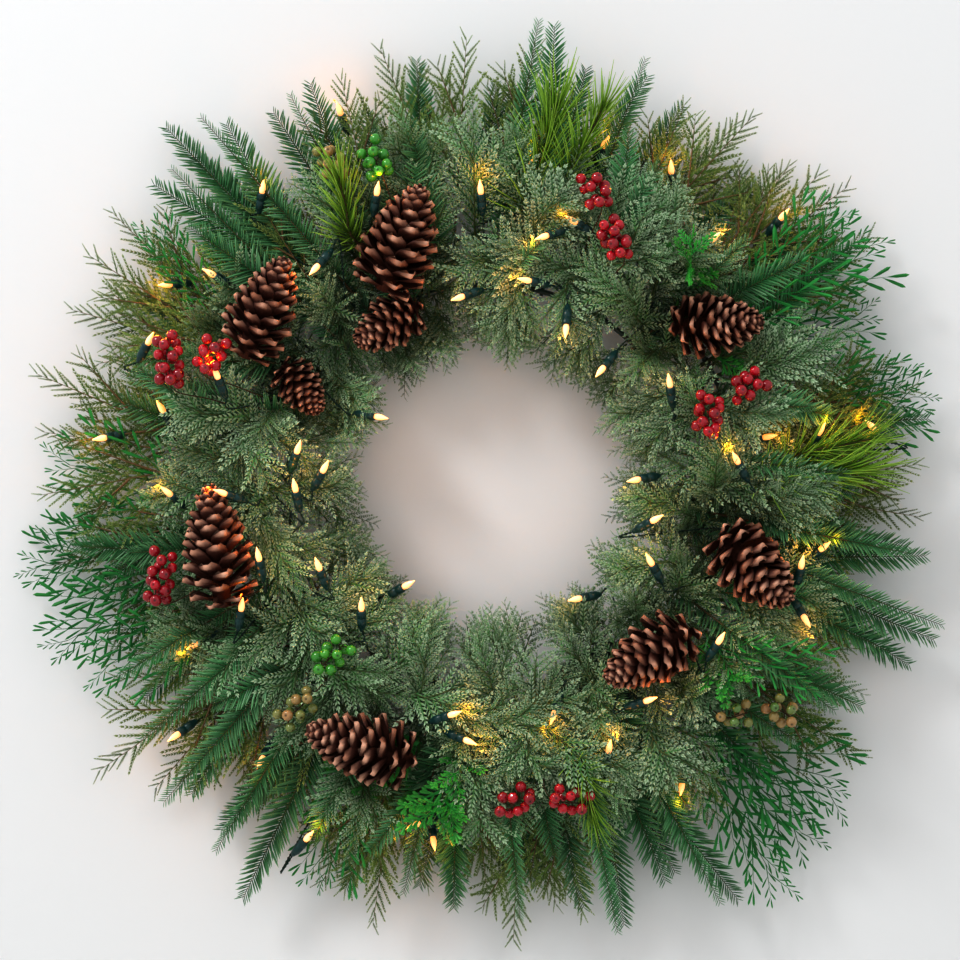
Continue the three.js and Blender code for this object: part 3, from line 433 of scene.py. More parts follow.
def grown(name, guides, tree, **inputs):
    """The plain mesh object that a Geometry Nodes tree makes from a guide mesh."""
    modifier = guides.modifiers.new("nodes", "NODES")
    modifier.node_group = tree
    sockets = {s.name: s.identifier for s in tree.interface.items_tree if s.in_out == "INPUT"}
    for socket, value in inputs.items():
        modifier[sockets[socket.replace("_", " ")]] = value
    bpy.context.view_layer.update()
    mesh = bpy.data.meshes.new_from_object(guides.evaluated_get(bpy.context.evaluated_depsgraph_get()))
    guides.modifiers.clear()
    bpy.data.objects.remove(guides)
    made = bpy.data.objects.new(name, mesh)
    mesh.name = name
    bpy.context.scene.collection.objects.link(made)
    return made


def guide_mesh(name, lines, **attributes):
    """Lines of places as a mesh of edges. Each attribute holds one list of values for each line."""
    mesh = bpy.data.meshes.new(name)
    places = [p for line in lines for p in line]
    edges, first = [], 0
    for line in lines:
        edges += [(first + i, first + i + 1) for i in range(len(line) - 1)]
        first += len(line)
    mesh.from_pydata([tuple(p) for p in places], edges, [])
    for attribute, rows in attributes.items():
        values = [value for row in rows for value in row]
        is_vector = isinstance(values[0], Vector)
        layer = mesh.attributes.new(attribute, "FLOAT_VECTOR" if is_vector else "FLOAT", "POINT")
        flat = [c for value in values for c in value] if is_vector else values
        layer.data.foreach_set("vector" if is_vector else "value", flat)
    made = bpy.data.objects.new(name, mesh)
    bpy.context.scene.collection.objects.link(made)
    return made


# Twisted pairs: two round wires are swept side by side along each guide, and the tilt twists them together.
pair_tree, given, result = tree_with(
    "twisted_pair", Wire="Float", Lay="Float", Step="Float", Covering="Material",
)
curve = add(pair_tree, "GeometryNodeMeshToCurve", Mesh=given["Guides"])
even = add(
    pair_tree, "GeometryNodeResampleCurve", {"mode": "LENGTH"}, Curve=curve.outputs[0], Length=given["Step"],
)
run = add(pair_tree, "GeometryNodeSplineParameter")
turns = maths(pair_tree, "DIVIDE", run.outputs["Length"], given["Lay"])
tilt = maths(pair_tree, "MULTIPLY", turns, 2 * math.pi)
twisted = add(pair_tree, "GeometryNodeSetCurveTilt", Curve=even.outputs[0], Tilt=tilt)
wire_round = add(
    pair_tree, "GeometryNodeCurvePrimitiveCircle", {"mode": "RADIUS"}, Resolution=6, Radius=given["Wire"],
)
aside = add(pair_tree, "ShaderNodeCombineXYZ", X=given["Wire"])
other_side = vectors(pair_tree, "SCALE", aside.outputs[0], Scale=-1.0)
both = add(pair_tree, "GeometryNodeJoinGeometry")
for place in (aside.outputs[0], other_side):
    one = add(pair_tree, "GeometryNodeTransform", Geometry=wire_round.outputs[0], Translation=place)
    link(pair_tree, one.outputs[0], both.inputs[0])
swept = add(
    pair_tree, "GeometryNodeCurveToMesh", Curve=twisted.outputs[0], Profile_Curve=both.outputs[0],
    Fill_Caps=True,
)
smooth = add(pair_tree, "GeometryNodeSetShadeSmooth", Geometry=swept.outputs[0])
real = add(pair_tree, "GeometryNodeRealizeInstances", Geometry=smooth.outputs[0])
covered = add(pair_tree, "GeometryNodeSetMaterial", Geometry=real.outputs[0], Material=given["Covering"])
link(pair_tree, covered.outputs[0], result[0])


def light_aim(light):
    """Where a light's bulb is and which way it points."""
    right, up, depth, pointing = light
    turn = math.radians(pointing)
    return spot(right, up, depth), Vector((math.cos(turn), -LIGHT_LEAN, math.sin(turn))).normalized()


def smooth_line(corners, steps=8):
    """A Catmull-Rom line through a few places."""
    ends = [corners[0] * 2 - corners[1]] + corners + [corners[-1] * 2 - corners[-2]]
    line = []
    for a, b, c, d in zip(ends, ends[1:], ends[2:], ends[3:]):
        for i in range(steps):
            t = i / steps
            straight = 2 * b + (c - a) * t
            bend = (2 * a - 5 * b + 4 * c - d) * t**2 + (3 * b - a - 3 * c + d) * t**3
            line.append(0.5 * (straight + bend))
    return line + [corners[-1]]


# The sockets' and bulbs' shapes in millimetres: how far along from the bulb's middle, and the radius.
SOCKET_SHAPE = [
    (-29, 0.01), (-29, 1.9), (-27, 2.5), (-25.4, 3.2), (-24, 3.3), (-23.6, 4.1), (-16, 4.3), (-15.6, 3.9),
]
SOCKET_SHAPE += [(-15, 3.9), (-14.6, 4.4), (-9.2, 4.4), (-8, 3.9), (-8, 2.6), (-9, 0.01)]
BULB_SHAPE = [
    (-9, 0.01), (-9, 2.2), (-6.5, 2.8), (-4.5, 3.0), (-2, 2.8), (0.5, 2.2), (3, 1.3), (5, 0.7), (6, 0.01),
]


def turned(shape, at, direction, sides=12):
    """A turned shape whose axis starts at a place and points along a direction."""
    vertices, faces = [], []
    side = direction.cross(Vector((0.2, 0.1, 1))).normalized()
    up = direction.cross(side)
    for along, radius in shape:
        for j in range(sides):
            turn = 2 * math.pi * j / sides
            spoke = side * math.cos(turn) + up * math.sin(turn)
            vertices.append(at + (direction * along + spoke * radius) / 1000)
    for i in range(len(shape) - 1):
        for j in range(sides):
            k = (j + 1) % sides
            faces.append((i * sides + j, i * sides + k, (i + 1) * sides + k, (i + 1) * sides + j))
    faces.append(tuple(reversed(range(sides))))
    faces.append(tuple((len(shape) - 1) * sides + j for j in range(sides)))
    return vertices, faces


def gathered(name, shapes, smooth=True):
    """One object from many lists of vertices and faces."""
    vertices, faces = [], []
    for more_vertices, more_faces in shapes:
        first = len(vertices)
        vertices += more_vertices
        faces += [tuple(first + i for i in face) for face in more_faces]
    return mesh_object(name, vertices, faces, smooth)


# PVC: blue-green, satin, with the twist catching the light.
pvc, tree, shader = material_with("blue_green_pvc", Base_Color=linear("#14392f"), Roughness=0.38)
satin = add(tree, "ShaderNodeMapRange", Value=noise(tree, 400.0), To_Min=0.3, To_Max=0.5)
link(tree, satin.outputs[0], shader.inputs["Roughness"])

# Polypropylene sockets: darker and bluer than the wire, moulded with a grip ring.
teal = linear("#0f3a38")
socket_plastic = mottled(
    "moulded_polypropylene", "#0d322f", "#1b4a4a", 300.0, Base_Color=teal, Roughness=0.34,
)

# Clear glass lit from inside, made opaque here: white-hot at the filament, amber towards both ends.
lit_glass, tree, shader = material_with("lit_clear_glass", Base_Color=linear("#fff1d6"), Roughness=0.08)
heat = add(tree, "ShaderNodeAttribute", {"attribute_name": "heat"})
amber = blend(tree, linear("#ff9a22"), linear("#ffe3a0"), heat.outputs["Fac"])
power = add(tree, "ShaderNodeMapRange", Value=heat.outputs["Fac"], To_Min=1.1, To_Max=5.0)
link(tree, amber, shader.inputs["Emission Color"])
link(tree, power.outputs[0], shader.inputs["Emission Strength"])

all_lights = LIGHTS + MORE_LIGHTS
leads = []
for right, up, depth, pointing in all_lights:
    bulb, direction = light_aim((right, up, depth, pointing))
    foot = bulb - direction * ((BULB_LENGTH / 2 + SOCKET_LENGTH) / 1000)
    lead_angle = math.degrees(math.atan2(up, right))
    rise = around(lead_angle, LOOP_RADIUS, min(46, depth - 10))
    corners = [around(lead_angle, LOOP_RADIUS, LOOP_DEPTH), rise, foot - direction * 0.012, foot]
    leads.append(smooth_line(corners))
loop_gap = 10.6
loop_line = [
    around(BOX_ANGLE + loop_gap + a * (360 - 2 * loop_gap) / 180, LOOP_RADIUS, LOOP_DEPTH)
    for a in range(181)
]
lead_wires = grown(
    "leads", guide_mesh("leads", leads), pair_tree, Wire=0.0007, Lay=0.009, Step=0.0035, Covering=pvc,
)
loop_wires = grown(
    "loop", guide_mesh("loop", [loop_line]), pair_tree, Wire=0.0008, Lay=0.014, Step=0.003, Covering=pvc,
)
sockets = gathered("sockets", [turned(SOCKET_SHAPE, *light_aim(light)) for light in all_lights])
sockets.data.materials.append(socket_plastic)
light_wires = joined("light_string_wires", [lead_wires, loop_wires, sockets])
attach(light_wires, "root")
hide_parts("light_string")

bulbs = gathered("light_string_bulbs", [turned(BULB_SHAPE, *light_aim(light)) for light in all_lights])
bulb_heat = [math.exp(-(((along + 3.5) / 4) ** 2)) for along, _ in BULB_SHAPE for _ in range(12)]
bulbs.data.attributes.new("heat", "FLOAT", "POINT").data.foreach_set("value", bulb_heat * len(all_lights))
bulbs.data.materials.append(lit_glass)
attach(bulbs, "root")
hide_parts("light_string")

# The bulbs' warm light on the leaves beside them. It is weaker round the hole, to keep its tint off the wall.
NEAR_THE_HOLE = 152
GLOW_POWER, GLOW_POWER_AT_HOLE = 0.024, 0.012
for index, light in enumerate(all_lights):
    bulb, direction = light_aim(light)
    glow_data = bpy.data.lights.new("glow", "POINT")
    at_hole = math.hypot(light[0], light[1]) < NEAR_THE_HOLE
    glow_data.energy = GLOW_POWER_AT_HOLE if at_hole else GLOW_POWER
    glow_data.shadow_soft_size = 0.004
    glow_data.color = linear("#ff9d2c")[:3]
    glow = bpy.data.objects.new("glow_" + str(index + 1), glow_data)
    glow.location = bulb + direction * 0.011 + Vector((0, 0.002, 0))
    bpy.context.scene.collection.objects.link(glow)

# ---------------------------------------------------------------- pine cones
# Real pine cones, dried open: woody scales in spirals round a core, each with a paler lip. The wires that
# hold them to the frame are left out here.

# Each cone: its middle, which way its tip points (right, up, towards the viewer), its length and width.
CONES = [
    ((-80, 232, 92), (0.34, 0.86, 0.38), 112, 78),
    ((-206, 168, 98), (0.4, 0.86, 0.3), 108, 70),
    ((-252, -50, 104), (-0.1, 0.97, 0.2), 122, 74),
    ((-124, -236, 100), (-0.88, 0.3, 0.36), 112, 72),
    ((142, -156, 102), (-0.8, -0.46, 0.38), 100, 68),
    ((246, -78, 96), (0.6, -0.6, 0.52), 100, 72),
    ((214, 150, 88), (0.84, 0.02, 0.54), 94, 64),
    ((-174, 90, 66), (0.6, -0.76, 0.24), 60, 44),
    ((-98, 150, 62), (-0.75, -0.5, 0.3), 72, 54),
]
CONE_SCALES = 80
SCALED_SHARE = 0.86  # the share of a cone's length that its scales are rooted on
SCALE_ROOT_OUT = 0.004  # from the cone's axis to the root of a scale
SCALE_REACH = 0.47  # a scale's length as a share of the cone's width
SCALE_ROWS, SCALE_COLUMNS = 6, 4
SPIRAL = math.radians(137.508)


def cone_scale():
    """One woody scale along +X with its upper face to +Z: a thin root and a broad, thick, rounded end."""
    top, under = [], []
    for i in range(SCALE_ROWS + 1):
        u = i / SCALE_ROWS
        broadening = 0.06 + 0.25 * math.sin(min(1, u * 1.15) * math.pi / 2)
        half_width = broadening * math.sqrt(max(0.1, 1 - max(0, u - 0.68) ** 2 * 8))
        thick = 0.03 + 0.07 * max(0, u - 0.6) / 0.4
        for j in range(SCALE_COLUMNS + 1):
            v = 2 * j / SCALE_COLUMNS - 1
            round_end = 0.09 * v * v * u
            cupped = 0.1 * u * u + 0.11 * v * v * u
            crest = 0.035 * math.exp(-((v / 0.4) ** 2)) * max(0, u - 0.7) / 0.3
            top.append((u - round_end, v * half_width, cupped + thick * 0.5 + crest))
            under.append((u - round_end, v * half_width * 0.9, cupped - thick * 0.5))
    columns = SCALE_COLUMNS + 1
    back = len(top)
    faces = []
    for i in range(SCALE_ROWS):
        for j in range(SCALE_COLUMNS):
            a, b = i * columns + j, (i + 1) * columns + j
            c, d = b + 1, a + 1
            faces.append((a, b, c, d))
            faces.append((back + a, back + d, back + c, back + b))
    rim = [j for j in range(columns)] + [i * columns + columns - 1 for i in range(1, SCALE_ROWS + 1)]
    rim += [
        SCALE_ROWS * columns + j
        for j in reversed(range(columns - 1))
    ] + [i * columns for i in reversed(range(1, SCALE_ROWS))]
    for a, b in zip(rim, rim[1:] + rim[:1]):
        faces.append((a, b, back + b, back + a))
    made = mesh_object("scale", top + under, faces)
    lips = [max(0, (v[0] - 0.84) / 0.12) for v in top + under]
    made.data.attributes.new("lip", "FLOAT", "POINT").data.foreach_set("value", [min(1, lip) for lip in lips])
    form = bmesh.new()
    form.from_mesh(made.data)
    bmesh.ops.recalc_face_normals(form, faces=form.faces)
    form.to_mesh(made.data)
    form.free()
    made.data.shade_smooth()
    return made


def random_between(tree, low, high, seed):
    """A random number for each point, between two others."""
    node = add(tree, "FunctionNodeRandomValue", {"data_type": "FLOAT"}, Seed=seed)
    node.inputs[2].default_value = low
    node.inputs[3].default_value = high
    return node.outputs[1]


def random_vector(tree, reach, seed):
    """A random vector for each point, whose parts reach as far as these to either side of zero."""
    node = add(tree, "FunctionNodeRandomValue", {"data_type": "FLOAT_VECTOR"}, Seed=seed)
    node.inputs["Min"].default_value = [-r for r in reach]
    node.inputs["Max"].default_value = reach
    return node.outputs[0]


def with_tint(tree, placed, tint):
    """Stores the tint of each copy, which its material reads."""
    settings = {"data_type": "FLOAT", "domain": "INSTANCE"}
    stored = add(tree, "GeometryNodeStoreNamedAttribute", settings, Name="tint")
    link(tree, placed.outputs[0], stored.inputs["Geometry"])
    link(tree, tint, stored.inputs["Value"])
    return stored.outputs[0]


def curve_through(tree, value, ends, between):
    """A number read off a smooth curve: its heights at 0 and 1, and places between."""
    node = add(tree, "ShaderNodeFloatCurve", Value=value)
    points = node.mapping.curves[0].points
    for x, y in between:
        points.new(x, y)
    points[0].location = (0, ends[0])
    points[-1].location = (1, ends[1])
    return node.outputs[0]


def turned_by(tree, rotation, angles):
    """A rotation turned once more, about its own axes."""
    settled = add(
        tree, "FunctionNodeRotateRotation", {"rotation_space": "LOCAL"}, Rotation=rotation.outputs[0],
    )
    wobble = add(tree, "FunctionNodeEulerToRotation", Euler=angles)
    link(tree, wobble.outputs[0], settled.inputs["Rotate By"])
    return settled.outputs[0]


cone_tree, given, result = tree_with(
    "cone", Long="Float", Wide="Float", Scales="Int", Scale="Object", Seed="Int", Wood="Material",
)
number = add(cone_tree, "GeometryNodeInputIndex").outputs[0]
place_along = maths(cone_tree, "DIVIDE", number, given["Scales"])
turn = maths(cone_tree, "MULTIPLY", number, SPIRAL)
outward = add(cone_tree, "FunctionNodeRotateVector", Vector=(1.0, 0.0, 0.0))
spin = add(cone_tree, "ShaderNodeCombineXYZ", Z=turn)
spun = add(cone_tree, "FunctionNodeEulerToRotation", Euler=spin.outputs[0])
link(cone_tree, spun.outputs[0], outward.inputs["Rotation"])
outward = outward.outputs[0]
height = maths(cone_tree, "MULTIPLY", maths(cone_tree, "MULTIPLY", place_along, given["Long"]), SCALED_SHARE)
on_axis = add(cone_tree, "ShaderNodeCombineXYZ", Z=height).outputs[0]
core = vectors(cone_tree, "SCALE", outward, Scale=SCALE_ROOT_OUT)
root = vectors(cone_tree, "ADD", on_axis, Vector_001=core)
points = add(cone_tree, "GeometryNodePoints", Count=given["Scales"], Position=root)
# The scales open flat at the base and close up steeply towards the tip.
opening = curve_through(cone_tree, place_along, (0.0, 0.96), ((0.3, 0.30), (0.65, 0.52)))
climb = maths(cone_tree, "MULTIPLY", opening, 1.5)
flat = vectors(cone_tree, "SCALE", outward, Scale=maths(cone_tree, "COSINE", climb))
steep = add(cone_tree, "ShaderNodeCombineXYZ", Z=maths(cone_tree, "SINE", climb)).outputs[0]
heading = vectors(cone_tree, "ADD", flat, Vector_001=steep)
upright = add(cone_tree, "FunctionNodeAxesToRotation", {"primary_axis": "X", "secondary_axis": "Z"})
link(cone_tree, heading, upright.inputs[0])
inward = vectors(cone_tree, "SCALE", outward, Scale=-0.2)
link(cone_tree, vectors(cone_tree, "ADD", inward, Vector_001=(0.0, 0.0, 1.0)), upright.inputs[1])
jitter = random_vector(cone_tree, (0.1, 0.1, 0.08), given["Seed"])
settled = turned_by(cone_tree, upright, jitter)
swell = curve_through(cone_tree, place_along, (0.7, 0.3), ((0.12, 0.92), (0.3, 1.0), (0.7, 0.74)))
reach = maths(cone_tree, "MULTIPLY", maths(cone_tree, "MULTIPLY", swell, given["Wide"]), SCALE_REACH)
shape = add(cone_tree, "GeometryNodeObjectInfo", Object=given["Scale"]).outputs["Geometry"]
placed = add(cone_tree, "GeometryNodeInstanceOnPoints", Points=points.outputs[0], Instance=shape)
link(cone_tree, settled, placed.inputs["Rotation"])
link(cone_tree, reach, placed.inputs["Scale"])
tinted = with_tint(cone_tree, placed, random_between(cone_tree, 0.0, 1.0, given["Seed"]))
real = add(cone_tree, "GeometryNodeRealizeInstances", Geometry=tinted)
covered = add(cone_tree, "GeometryNodeSetMaterial", Geometry=real.outputs[0], Material=given["Wood"])
link(cone_tree, covered.outputs[0], result[0])

# Dry pine wood: dark red-brown inside, with tan weathered lips and fine fibres.
cone_wood, tree, shader = material_with("dry_cone_wood", Roughness=0.62)
lip = add(tree, "ShaderNodeAttribute", {"attribute_name": "lip"})
tint = add(tree, "ShaderNodeAttribute", {"attribute_name": "tint"})
fibre = noise(tree, 520.0, 4.0)
dark = blend(tree, linear("#30140c"), linear("#663322"), fibre)
pale = blend(tree, linear("#a06b52"), linear("#dcae96"), tint.outputs["Fac"])
link(tree, blend(tree, dark, pale, lip.outputs["Fac"]), shader.inputs["Base Color"])
roughened(tree, shader, fibre, 0.0004, 0.6)

scale_shape = cone_scale()
for index, (at, tip, long, wide) in enumerate(CONES):
    seed_point = mesh_object("seed", [(0, 0, 0)], [])
    cone = grown(
        "cone_" + str(index + 1), seed_point, cone_tree,
        Long=long / 1000, Wide=wide / 1000, Scales=CONE_SCALES, Scale=scale_shape, Seed=index, Wood=cone_wood,
    )
    axis = Vector((tip[0], -tip[2], tip[1])).normalized()
    base = spot(*at) - axis * (long / 2000)
    core_vertices, core_faces = [], []
    core_places = [Vector((0, 0, long / 1000 * share)) for share in (0.0, 0.3, 0.7, 0.93)]
    tube(core_vertices, core_faces, core_places, [wide / 9000, wide / 7000, wide / 8000, wide / 16000], 8)
    core_body = mesh_object("core", core_vertices, core_faces, smooth=True)
    core_body.data.materials.append(cone_wood)
    core_body.data.attributes.new("lip", "FLOAT", "POINT")
    core_body.data.attributes.new("tint", "FLOAT", "POINT")
    cone = joined("pine_cone_" + str(index + 1) + "_scales", [cone, core_body])
    cone.data.transform(Matrix.Translation(base) @ axis.to_track_quat("Z", "Y").to_matrix().to_4x4())
    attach(cone, "root")
    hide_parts("pine_cone_" + str(index + 1))
bpy.data.objects.remove(scale_shape)

# ---------------------------------------------------------------- berry picks
# Styrofoam beads dipped in gloss lacquer, on thin paper-wrapped wires that branch from one stem.

BERRY_RADIUS = 5.3

# Each pick: the node it stands for, its finish, and each bunch's start, end and number of berries.
PICKS = [
    (
        "red_berries_1", "red",
        [((-292, 92, 116), (-296, 138, 106), 18), ((-262, 104, 120), (-250, 134, 112), 12)],
    ),
    ("red_berries_2", "red", [((122, 208, 128), (106, 242, 122), 15), ((102, 256, 118), (92, 284, 108), 11)]),
    ("red_berries_3", "red", [((196, 46, 120), (202, 84, 120), 16), ((222, 84, 118), (248, 100, 108), 13)]),
    ("red_berries_4", "red", [((-306, -108, 98), (-300, -62, 94), 16)]),
    ("red_berries_5", "red", [((10, -298, 98), (36, -280, 102), 10), ((54, -284, 104), (90, -292, 96), 11)]),
    ("mixed_berries_1", "mixed", [((-138, 284, 72), (-154, 316, 62), 11)]),
    ("mixed_berries_2", "mixed", [((-162, -190, 104), (-190, -216, 96), 12)]),
    (
        "mixed_berries_3", "mixed",
        [((214, -212, 84), (238, -208, 90), 8), ((256, -198, 88), (280, -214, 80), 9)],
    ),
    ("green_berries_1", "green", [((-98, 284, 98), (-112, 314, 90), 12)]),
    ("green_berries_2", "green", [((-158, -168, 110), (-134, -144, 110), 12)]),
]
BERRY_REACH = 9.4  # from the twig's middle to a berry's
BERRY_SIZES = {"red": 1.04, "mixed": 0.98, "green": 1.02}


def bead():
    """A bead of radius 1 with a dimple where it was dipped."""
    bpy.ops.mesh.primitive_uv_sphere_add(segments=14, ring_count=9, radius=1)
    made = bpy.context.object
    for vertex in made.data.vertices:
        if vertex.co.z > 0.93:
            vertex.co.z -= 0.22 * (vertex.co.z - 0.93) / 0.07
    made.data.shade_smooth()
    eye = [
        1.0 if vertex.co.z > 0.72 and math.hypot(vertex.co.x, vertex.co.y) < 0.3 else 0.0
        for vertex in made.data.vertices
    ]
    made.data.attributes.new("eye", "FLOAT", "POINT").data.foreach_set("value", eye)
    return made


berry_tree, given, result = tree_with(
    "berries", Bead="Object", Radius="Float", Wire="Float", Seed="Int", Lacquer="Material", Paper="Material",
)
stalks = add(berry_tree, "GeometryNodeMeshToCurve", Mesh=given["Guides"])
stalk_round = add(
    berry_tree, "GeometryNodeCurvePrimitiveCircle", {"mode": "RADIUS"}, Resolution=6, Radius=given["Wire"],
)
stalk_mesh = add(
    berry_tree, "GeometryNodeCurveToMesh", Curve=stalks.outputs[0], Profile_Curve=stalk_round.outputs[0],
    Fill_Caps=True,
)
wrapped = add(berry_tree, "GeometryNodeSetMaterial", Geometry=stalk_mesh.outputs[0], Material=given["Paper"])
holds = add(berry_tree, "GeometryNodeInputNamedAttribute", {"data_type": "FLOAT"}, Name="holds")
held = maths(berry_tree, "GREATER_THAN", holds.outputs[0], 0.5)
ends = add(berry_tree, "GeometryNodeMeshToPoints", Mesh=given["Guides"])
link(berry_tree, held, ends.inputs["Selection"])
facing = add(berry_tree, "GeometryNodeInputNamedAttribute", {"data_type": "FLOAT_VECTOR"}, Name="outward")
aimed_up = add(berry_tree, "FunctionNodeAlignRotationToVector", {"axis": "Z"}, Vector=facing.outputs[0])
size_draw = random_between(berry_tree, 0.86, 1.04, given["Seed"])
berry_size = maths(berry_tree, "MULTIPLY", size_draw, given["Radius"])
shape = add(berry_tree, "GeometryNodeObjectInfo", Object=given["Bead"]).outputs["Geometry"]
set_on = add(berry_tree, "GeometryNodeInstanceOnPoints", Points=ends.outputs[0], Instance=shape)
link(berry_tree, aimed_up.outputs[0], set_on.inputs["Rotation"])
link(berry_tree, berry_size, set_on.inputs["Scale"])
tinted = with_tint(berry_tree, set_on, random_between(berry_tree, 0.0, 1.0, given["Seed"]))
dipped = add(berry_tree, "GeometryNodeSetMaterial", Geometry=tinted, Material=given["Lacquer"])
both = add(berry_tree, "GeometryNodeJoinGeometry")
link(berry_tree, wrapped.outputs[0], both.inputs[0])
link(berry_tree, dipped.outputs[0], both.inputs[0])
real = add(berry_tree, "GeometryNodeRealizeInstances", Geometry=both.outputs[0])
link(berry_tree, real.outputs[0], result[0])

# Florist's paper tape: dull brown-green, wound on the wire.
brown = linear("#3d2f1f")
paper_tape = mottled("brown_paper_tape", "#2d2417", "#57452c", 700.0, Base_Color=brown, Roughness=0.85)


def lacquer(name, one, other, eye):
    """Gloss lacquer over a bead: two colours that beads are drawn between, and a dark eye in the dimple."""
    material, tree, shader = material_with(name, Roughness=0.16, Coat_Weight=0.7, Coat_Roughness=0.06)
    tint = add(tree, "ShaderNodeAttribute", {"attribute_name": "tint"})
    dimple = add(tree, "ShaderNodeAttribute", {"attribute_name": "eye"})
    body = blend(tree, linear(one), linear(other), tint.outputs["Fac"])
    link(tree, blend(tree, body, linear(eye), dimple.outputs["Fac"]), shader.inputs["Base Color"])
    roughened(tree, shader, noise(tree, 260.0), 0.0002, 0.25)
    return material


LACQUERS = {
    "red": lacquer("crimson_gloss_lacquer", "#c2102b", "#8f0a20", "#2a0508"),
    "mixed": lacquer("green_and_russet_lacquer", "#5f8a48", "#b58a5e", "#2b2010"),
    "green": lacquer("apple_green_lacquer", "#54a83a", "#3f8f33", "#24381a"),
}


def pick_guides(bunches, draw):
    """The wires of a pick: a twig through each bunch, with a curved stalk to each berry."""
    lines, holds, outward = [], [], []
    for first, last, count in bunches:
        first, last = spot(*first), spot(*last)
        along = (last - first).normalized()
        front = Vector((0, -1, 0))
        front = (front - along * front.dot(along)).normalized()
        across = along.cross(front)
        slot_angle = math.degrees(math.atan2(first.z + RING_DROP, first.x))
        stem_root = around(slot_angle, 205, 38)
        twig = smooth_line([stem_root, first * 0.6 + stem_root * 0.4 + Vector((0, -0.01, 0)), first, last], 6)
        lines.append(twig)
        holds.append([0.0] * len(twig))
        outward.append([Vector((0, 0, 1))] * len(twig))
        for i in range(count):
            turn = i * SPIRAL + draw.uniform(-0.2, 0.2)
            out = (front * math.cos(turn) + across * math.sin(turn)).normalized()
            root = first.lerp(last, (i + 0.1) / count)
            at = root + (out * BERRY_REACH + along * draw.uniform(0, 5)) / 1000
            lines.append([root, root.lerp(at, 0.5) + along * 0.0015, at])
            holds.append([0.0, 0.0, 1.0])
            outward.append([out] * 3)
    return lines, holds, outward


berry_bead = bead()
for index, (node, finish, bunches) in enumerate(PICKS):
    lines, holds, outward = pick_guides(bunches, random.Random(index))
    guides = guide_mesh("pick", lines, holds=holds, outward=outward)
    radius = BERRY_RADIUS * BERRY_SIZES[finish] / 1000
    pick = grown(
        node + "_pick", guides, berry_tree,
        Bead=berry_bead, Radius=radius, Wire=0.0006, Seed=index, Lacquer=LACQUERS[finish], Paper=paper_tape,
    )
    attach(pick, "root")
    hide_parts(node)
bpy.data.objects.remove(berry_bead)

# ---------------------------------------------------------------- cedar
# Sprays of soft moulded polyethylene, sage green and doubly feathered like false cypress. They are the main
# foliage: some reach outwards, some stand on the crest and some line the hole.

GUIDE_STEPS = 12
CREST_AT = 0.45
STEM_DEPTH = 35.6
STEM_INNER, STEM_OUTER = 182, 243

# What the sprays are laid behind: a line on each cone, bunch and bulb, and how far the thing reaches.
COVERS = [
    (spot(*at) - Vector((tip[0], -tip[2], tip[1])).normalized() * (long / 2600),
     spot(*at) + Vector((tip[0], -tip[2], tip[1])).normalized() * (long / 2400), wide / 2000)
    for at, tip, long, wide in CONES
]
COVERS += [(spot(*first), spot(*last), 0.016) for _, _, bunches in PICKS for first, last, _ in bunches]
for light in all_lights:
    bulb, direction = light_aim(light)
    COVERS.append((bulb - direction * 0.004, bulb + direction * 0.008, 0.004))
LEAF_ROOM = 0.004  # from a cone or a berry to the leaves behind it
LEAF_REACH = 0.024  # how far round such a thing the sprays are laid back
LEAF_EASE = 2.2  # how steeply they come forward again past it
LOWEST_LEAF = HOOK_DEPTH - 0.006
FOREMOST_LEAF = cad_box[0][1] + 0.01  # a twig may stand this much further forward than its spray
WALL_TOUCH = 0.001  # leaves that reach the wall are pressed flat against it


def tucked(place):
    """Moves a place back where it would lie in front of a cone, a bunch or a bulb."""
    y = place.y
    for start, end, radius in COVERS:
        line = Vector((end.x - start.x, end.z - start.z))
        away = Vector((place.x - start.x, place.z - start.z))
        share = min(1, max(0, away.dot(line) / max(line.length_squared, 1e-9)))
        distance = (away - line * share).length
        if distance < radius + LEAF_REACH:
            behind = start.y + (end.y - start.y) * share + radius + LEAF_ROOM
            ease = max(0, distance - radius) * LEAF_EASE
            y = max(y, behind - ease)
    return Vector((place.x, min(max(y, FOREMOST_LEAF), LOWEST_LEAF), place.z))


def spray_line(foot, tip, rise):
    """A spray's middle line: from its foot over a crest to its tip, tucked behind what it passes."""
    crest = foot.lerp(tip, CREST_AT)
    crest.y = min(foot.y, tip.y) - rise / 1000
    line = []
    for i in range(GUIDE_STEPS + 1):
        t = i / GUIDE_STEPS
        at = foot * (1 - t) ** 2 + crest * (2 * t * (1 - t)) + tip * t**2
        line.append(tucked(at) if i > 1 else at)
    return line


def spray_guides(name, sprays, draw):
    """The guide mesh of some sprays, each given as (foot, tip, rise, width in millimetres)."""
    lines, facing, wide, tone = [], [], [], []
    for foot, tip, rise, width in sprays:
        line = spray_line(foot, tip, rise)
        outward = Vector((tip.x, 0, tip.z + RING_DROP)).normalized()
        face = Vector((draw.uniform(-0.35, 0.35), -1, draw.uniform(-0.35, 0.35))) + outward * 0.15
        lines.append(line)
        facing.append([face.normalized()] * len(line))
        wide.append([width / 1000] * len(line))
        tone.append([draw.random()] * len(line))
    return guide_mesh(name, lines, facing=facing, wide=wide, tone=tone)


def bough_sprays(slot, tips):
    """The sprays of one bough. Each tip is (angle, radius, depth, rise, width); its foot is on the stem."""
    sprays = []
    for index, (degrees, radius, depth, rise, width) in enumerate(tips):
        foot_radius = STEM_INNER + 6 * index if radius < LOOP_RADIUS else STEM_OUTER - 6 * index
        sprays.append((around(slot, foot_radius, STEM_DEPTH), around(degrees, radius, depth), rise, width))
    return sprays


